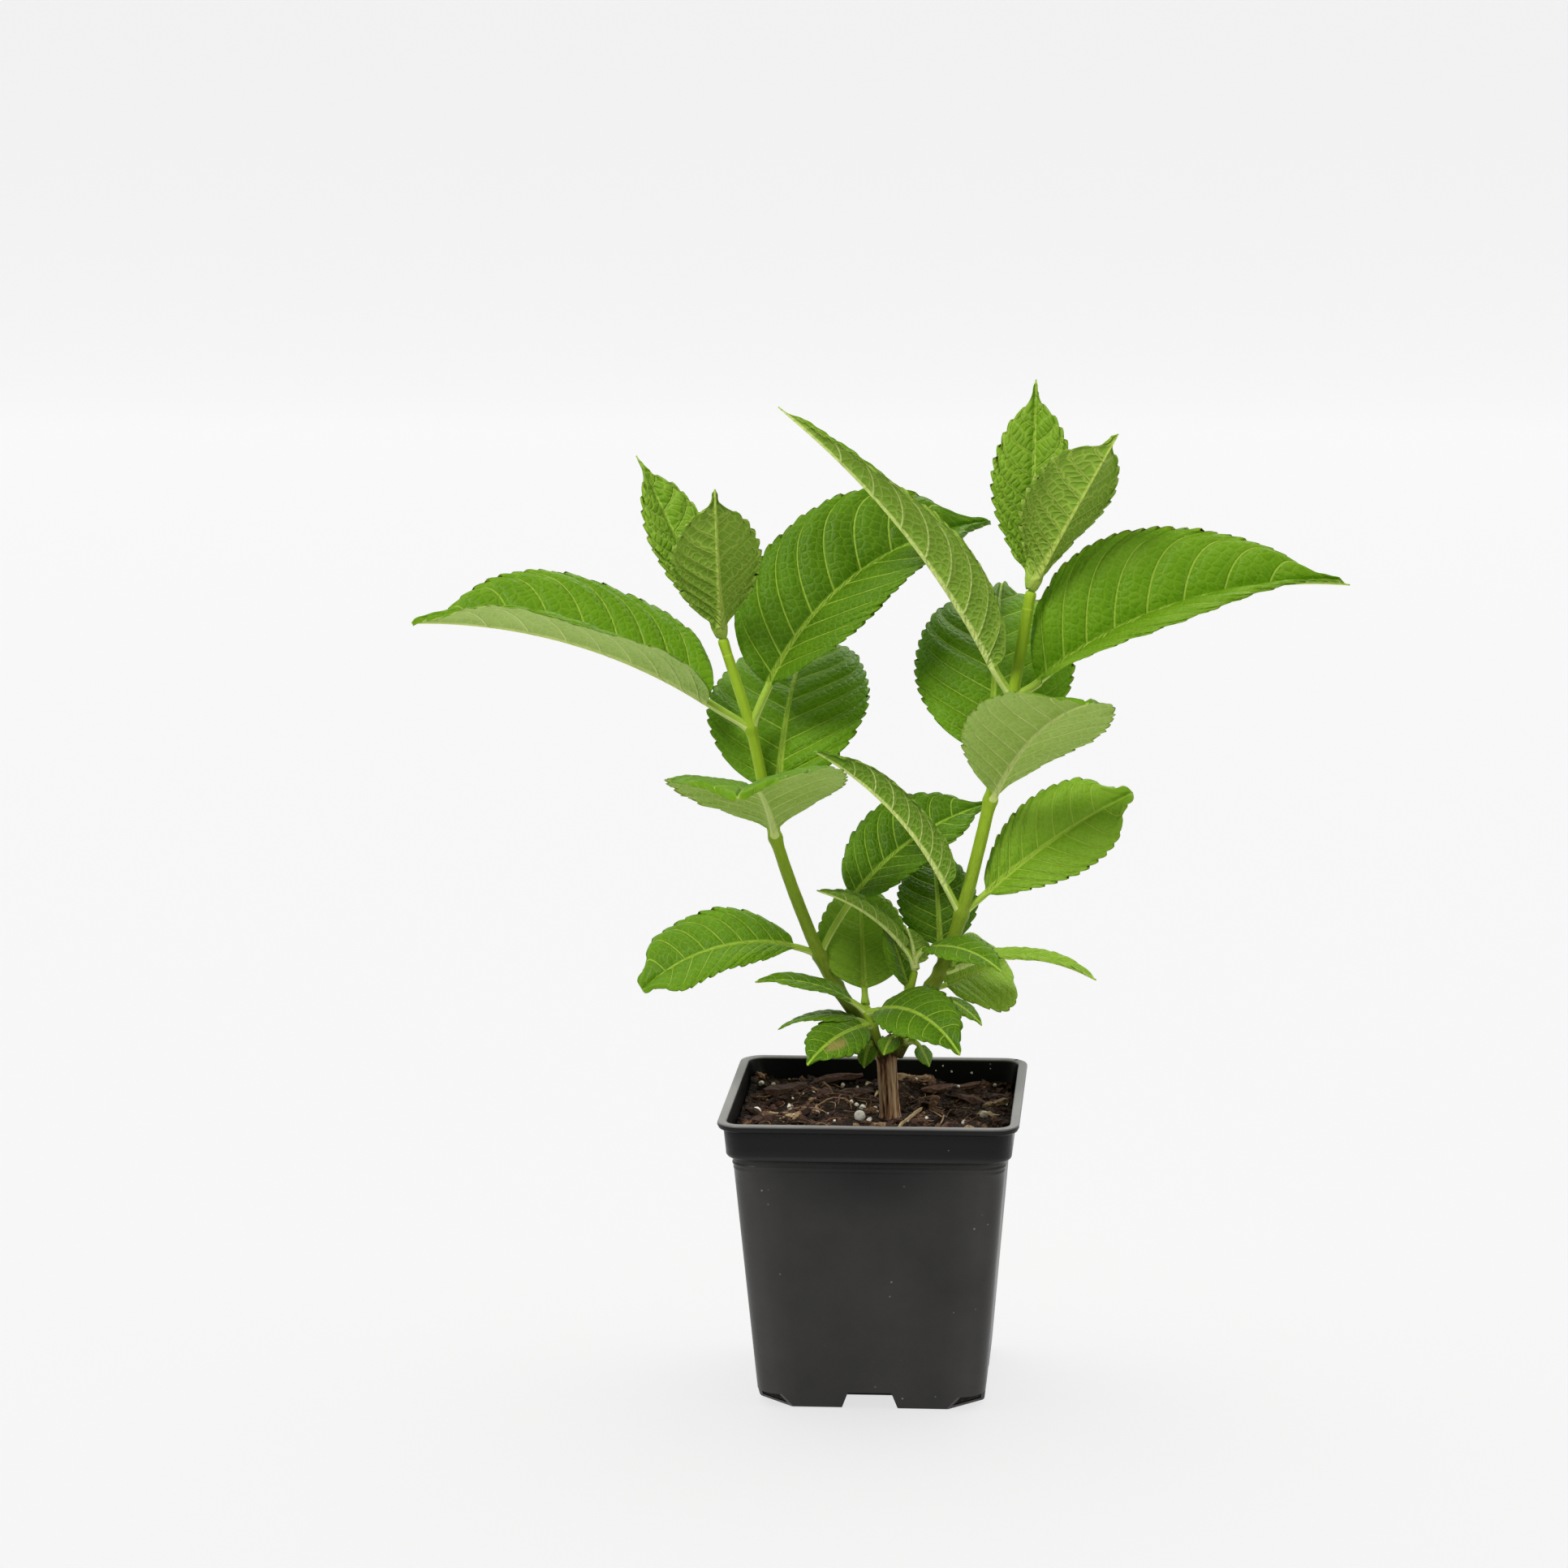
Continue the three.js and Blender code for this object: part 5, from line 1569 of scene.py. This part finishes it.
class HYDRANGEA_OT_pot(bpy.types.Operator):
    """Moulds the thin square pot with its ribs, lip, drain channels and cut corners"""

    bl_idname = "hydrangea.pot"
    bl_label = "Pot"

    def execute(self, context):
        pot = put_in("pot_shell", square_stack(wall_levels()), [])
        cut_away(pot, channels(0))
        hollow = put_in("hollow", square_stack(inside_levels(0)), [])
        cut_away(hollow, channels(POT_WALL))
        take_out(pot, hollow)
        cut_away(pot, corner_wedges(0))
        mesh = pot.data
        co = np.zeros(len(mesh.vertices) * 3, np.float32)
        mesh.vertices.foreach_get("co", co)
        co = co.reshape(-1, 3) / MM
        # Pale grey painted on the plastic for its reflections, highlights and sheen
        reflection_paint = mesh.attributes.new("reflection_paint", "FLOAT", "POINT")
        reflection_paint.data.foreach_set("value", painted_reflections(co).astype(np.float32))
        mesh.materials.clear()
        colour = tuple(context.scene.hydrangea.pot_colour)
        mesh.materials.append(finish("Moulded polypropylene, black", pot_plastic, colour))
        mesh.polygons.foreach_set("use_smooth", np.ones(len(mesh.polygons), bool))
        mesh.set_sharp_from_angle(angle=np.radians(32))
        keep(pot, "pot")
        return {"FINISHED"}


class HYDRANGEA_OT_compost(bpy.types.Operator):
    """Fills the pot with compost, bark chips, straws and perlite"""

    bl_idname = "hydrangea.compost"
    bl_label = "Compost"

    def execute(self, context):
        settings = context.scene.hydrangea
        crumbs = [finish("Damp bark compost", damp_compost)]
        bed = put_in("compost_bed", soil_bed(settings.soil_lumps), crumbs)
        cut_away(bed, channels(POT_WALL + CLEAR))
        cut_away(bed, corner_wedges(CLEAR))
        keep(bed, "soil")
        litter = joined(chip_shells(settings.chips, CHIP_SEED) + straw_shells(STRAW_SEED))
        broken = [finish("Milled bark and wood chips", wood_chip)]
        chips = put_in("bark_chips_and_straws", litter, broken, smooth_shading=False)
        keep(chips, None)
        popped = [finish("Perlite grains", perlite)]
        grains = put_in("perlite_grains", joined(grain_shells(GRAIN_SEED)), popped)
        keep(grains, None)
        return {"FINISHED"}


class HYDRANGEA_OT_stem(bpy.types.Operator):
    """Builds the old woody stem with its stringy bark and broken cut"""

    bl_idname = "hydrangea.stem"
    bl_label = "Woody stem"

    def execute(self, context):
        stub = put_in("bark_stub", bark_stub(), [finish("Weathered stringy bark", stringy_bark)])
        keep(stub, "woody_stem")
        return {"FINISHED"}


class HYDRANGEA_OT_shoots(bpy.types.Operator):
    """Grows the two long green shoots"""

    bl_idname = "hydrangea.shoots"
    bl_label = "Shoots"

    def execute(self, context):
        skins = leafy_skins(GROWN_SKINS)
        for side, shoot in SHOOTS.items():
            stem = put_in(f"{side}_stem", limb_shell(shoot, 0.85, 0.1), [skins[2]])
            keep(stem, f"{side}_shoot")
        return {"FINISHED"}


class HYDRANGEA_OT_leaves(bpy.types.Operator):
    """Grows the grown leaves of both shoots, pair by pair"""

    bl_idname = "hydrangea.leaves"
    bl_label = "Leaves"

    def execute(self, context):
        settings = context.scene.hydrangea
        skins = leafy_skins(GROWN_SKINS)
        seed = LEAF_SEEDS
        for side, shoot in SHOOTS.items():
            nodes = nodes_of(shoot)
            for place, spec in shoot["leaves"].items():
                seed += 1
                length = spec["blade"][0]
                look = dict(GROWN if length > LONG_LEAF else SMALL, tone=f"{side}_{place}")
                shell = leaf(nodes[spec["node"]], spec, seed, look, settings)
                blade = put_in(f"{side}_blade_{place}", shell, skins[:2])
                keep(blade, f"{side}_leaf_{place}")
        return {"FINISHED"}


class HYDRANGEA_OT_tips(bpy.types.Operator):
    """Grows each shoot's end: a short stem, a bud and a young pair of leaves"""

    bl_idname = "hydrangea.tips"
    bl_label = "Shoot tips"

    def execute(self, context):
        settings = context.scene.hydrangea
        skins = leafy_skins(YOUNG_SKINS)
        seed = TIP_SEEDS
        for side, shoot in SHOOTS.items():
            bearing, rise = shoot["internodes"][-1][1:]
            along = heading(bearing, rise)
            stem = dict(
                foot=nodes_of(shoot)[-1] - along * TIP_LAP,
                radii=(shoot["radii"][1] - 0.1, shoot["radii"][1] + 0.1),
                internodes=((TIP_STEM + TIP_LAP + CLEAR, bearing, rise),),
            )
            top = nodes_of(stem)[-1]
            shells = [limb_shell(stem, 0.1, 0.0, slot=2, leafy=True)]
            shells += bud_pair(top, along, 0.95)
            for spec in shoot["young"]:
                seed += 1
                shells.append(leaf(top, spec, seed, dict(YOUNG, tone="young"), settings))
            tip = put_in(f"{side}_tip_foliage", joined(shells), skins)
            keep(tip, f"{side}_shoot_tip")
        return {"FINISHED"}


class HYDRANGEA_OT_sprouts(bpy.types.Operator):
    """Grows the small sprouts and sprigs round the old stem"""

    bl_idname = "hydrangea.sprouts"
    bl_label = "Sprouts"

    def execute(self, context):
        settings = context.scene.hydrangea
        skins = leafy_skins(GROWN_SKINS)
        seed = SPROUT_SEEDS
        for name, sprout in SPROUTS.items():
            nodes = nodes_of(sprout)
            shells = [limb_shell(sprout, 0.95, 0.2, slot=2, leafy=True)]
            for place, spec in enumerate(sprout["leaves"]):
                seed += 1
                own = f"{name}_{place}"
                tone = own if own in TONES else "sprout"
                kind = SCALE_LEAF if spec["blade"][0] < SCALE_LENGTH else SMALL
                look = dict(kind, tone=tone, spot=SPOTS.get(own))
                shells.append(leaf(nodes[spec["node"]], spec, seed, look, settings))
            piece = put_in(f"{name}_foliage", joined(shells), skins)
            keep(piece, name)
        return {"FINISHED"}


class HYDRANGEA_PT_panel(bpy.types.Panel):
    """Lists the settings and the steps in the order they are run"""

    bl_idname = "HYDRANGEA_PT_panel"
    bl_label = "Potted hydrangea"
    bl_space_type = "VIEW_3D"
    bl_region_type = "UI"
    bl_category = "Hydrangea"

    def draw(self, context):
        column = self.layout.column()
        for group in (context.scene.hydrangea, context.scene.hydrangea_studio):
            for key in group.__annotations__:
                column.prop(group, key)
        for operator in OPERATORS:
            column.operator(operator.bl_idname)


OPERATORS = (
    HYDRANGEA_OT_stage,
    HYDRANGEA_OT_pot,
    HYDRANGEA_OT_compost,
    HYDRANGEA_OT_stem,
    HYDRANGEA_OT_shoots,
    HYDRANGEA_OT_leaves,
    HYDRANGEA_OT_tips,
    HYDRANGEA_OT_sprouts,
)
CLASSES = (HydrangeaSettings, StudioSettings, *OPERATORS, HYDRANGEA_PT_panel)


def register():
    for item in CLASSES:
        bpy.utils.register_class(item)
    bpy.types.Scene.hydrangea = bpy.props.PointerProperty(type=HydrangeaSettings)
    bpy.types.Scene.hydrangea_studio = bpy.props.PointerProperty(type=StudioSettings)


def unregister():
    del bpy.types.Scene.hydrangea_studio
    del bpy.types.Scene.hydrangea
    for item in reversed(CLASSES):
        bpy.utils.unregister_class(item)


def main():
    """Builds the plant and its stage step by step."""
    register()
    for operator in OPERATORS:
        group, step = operator.bl_idname.split(".")
        getattr(getattr(bpy.ops, group), step)()


if __name__ == "__main__":
    main()
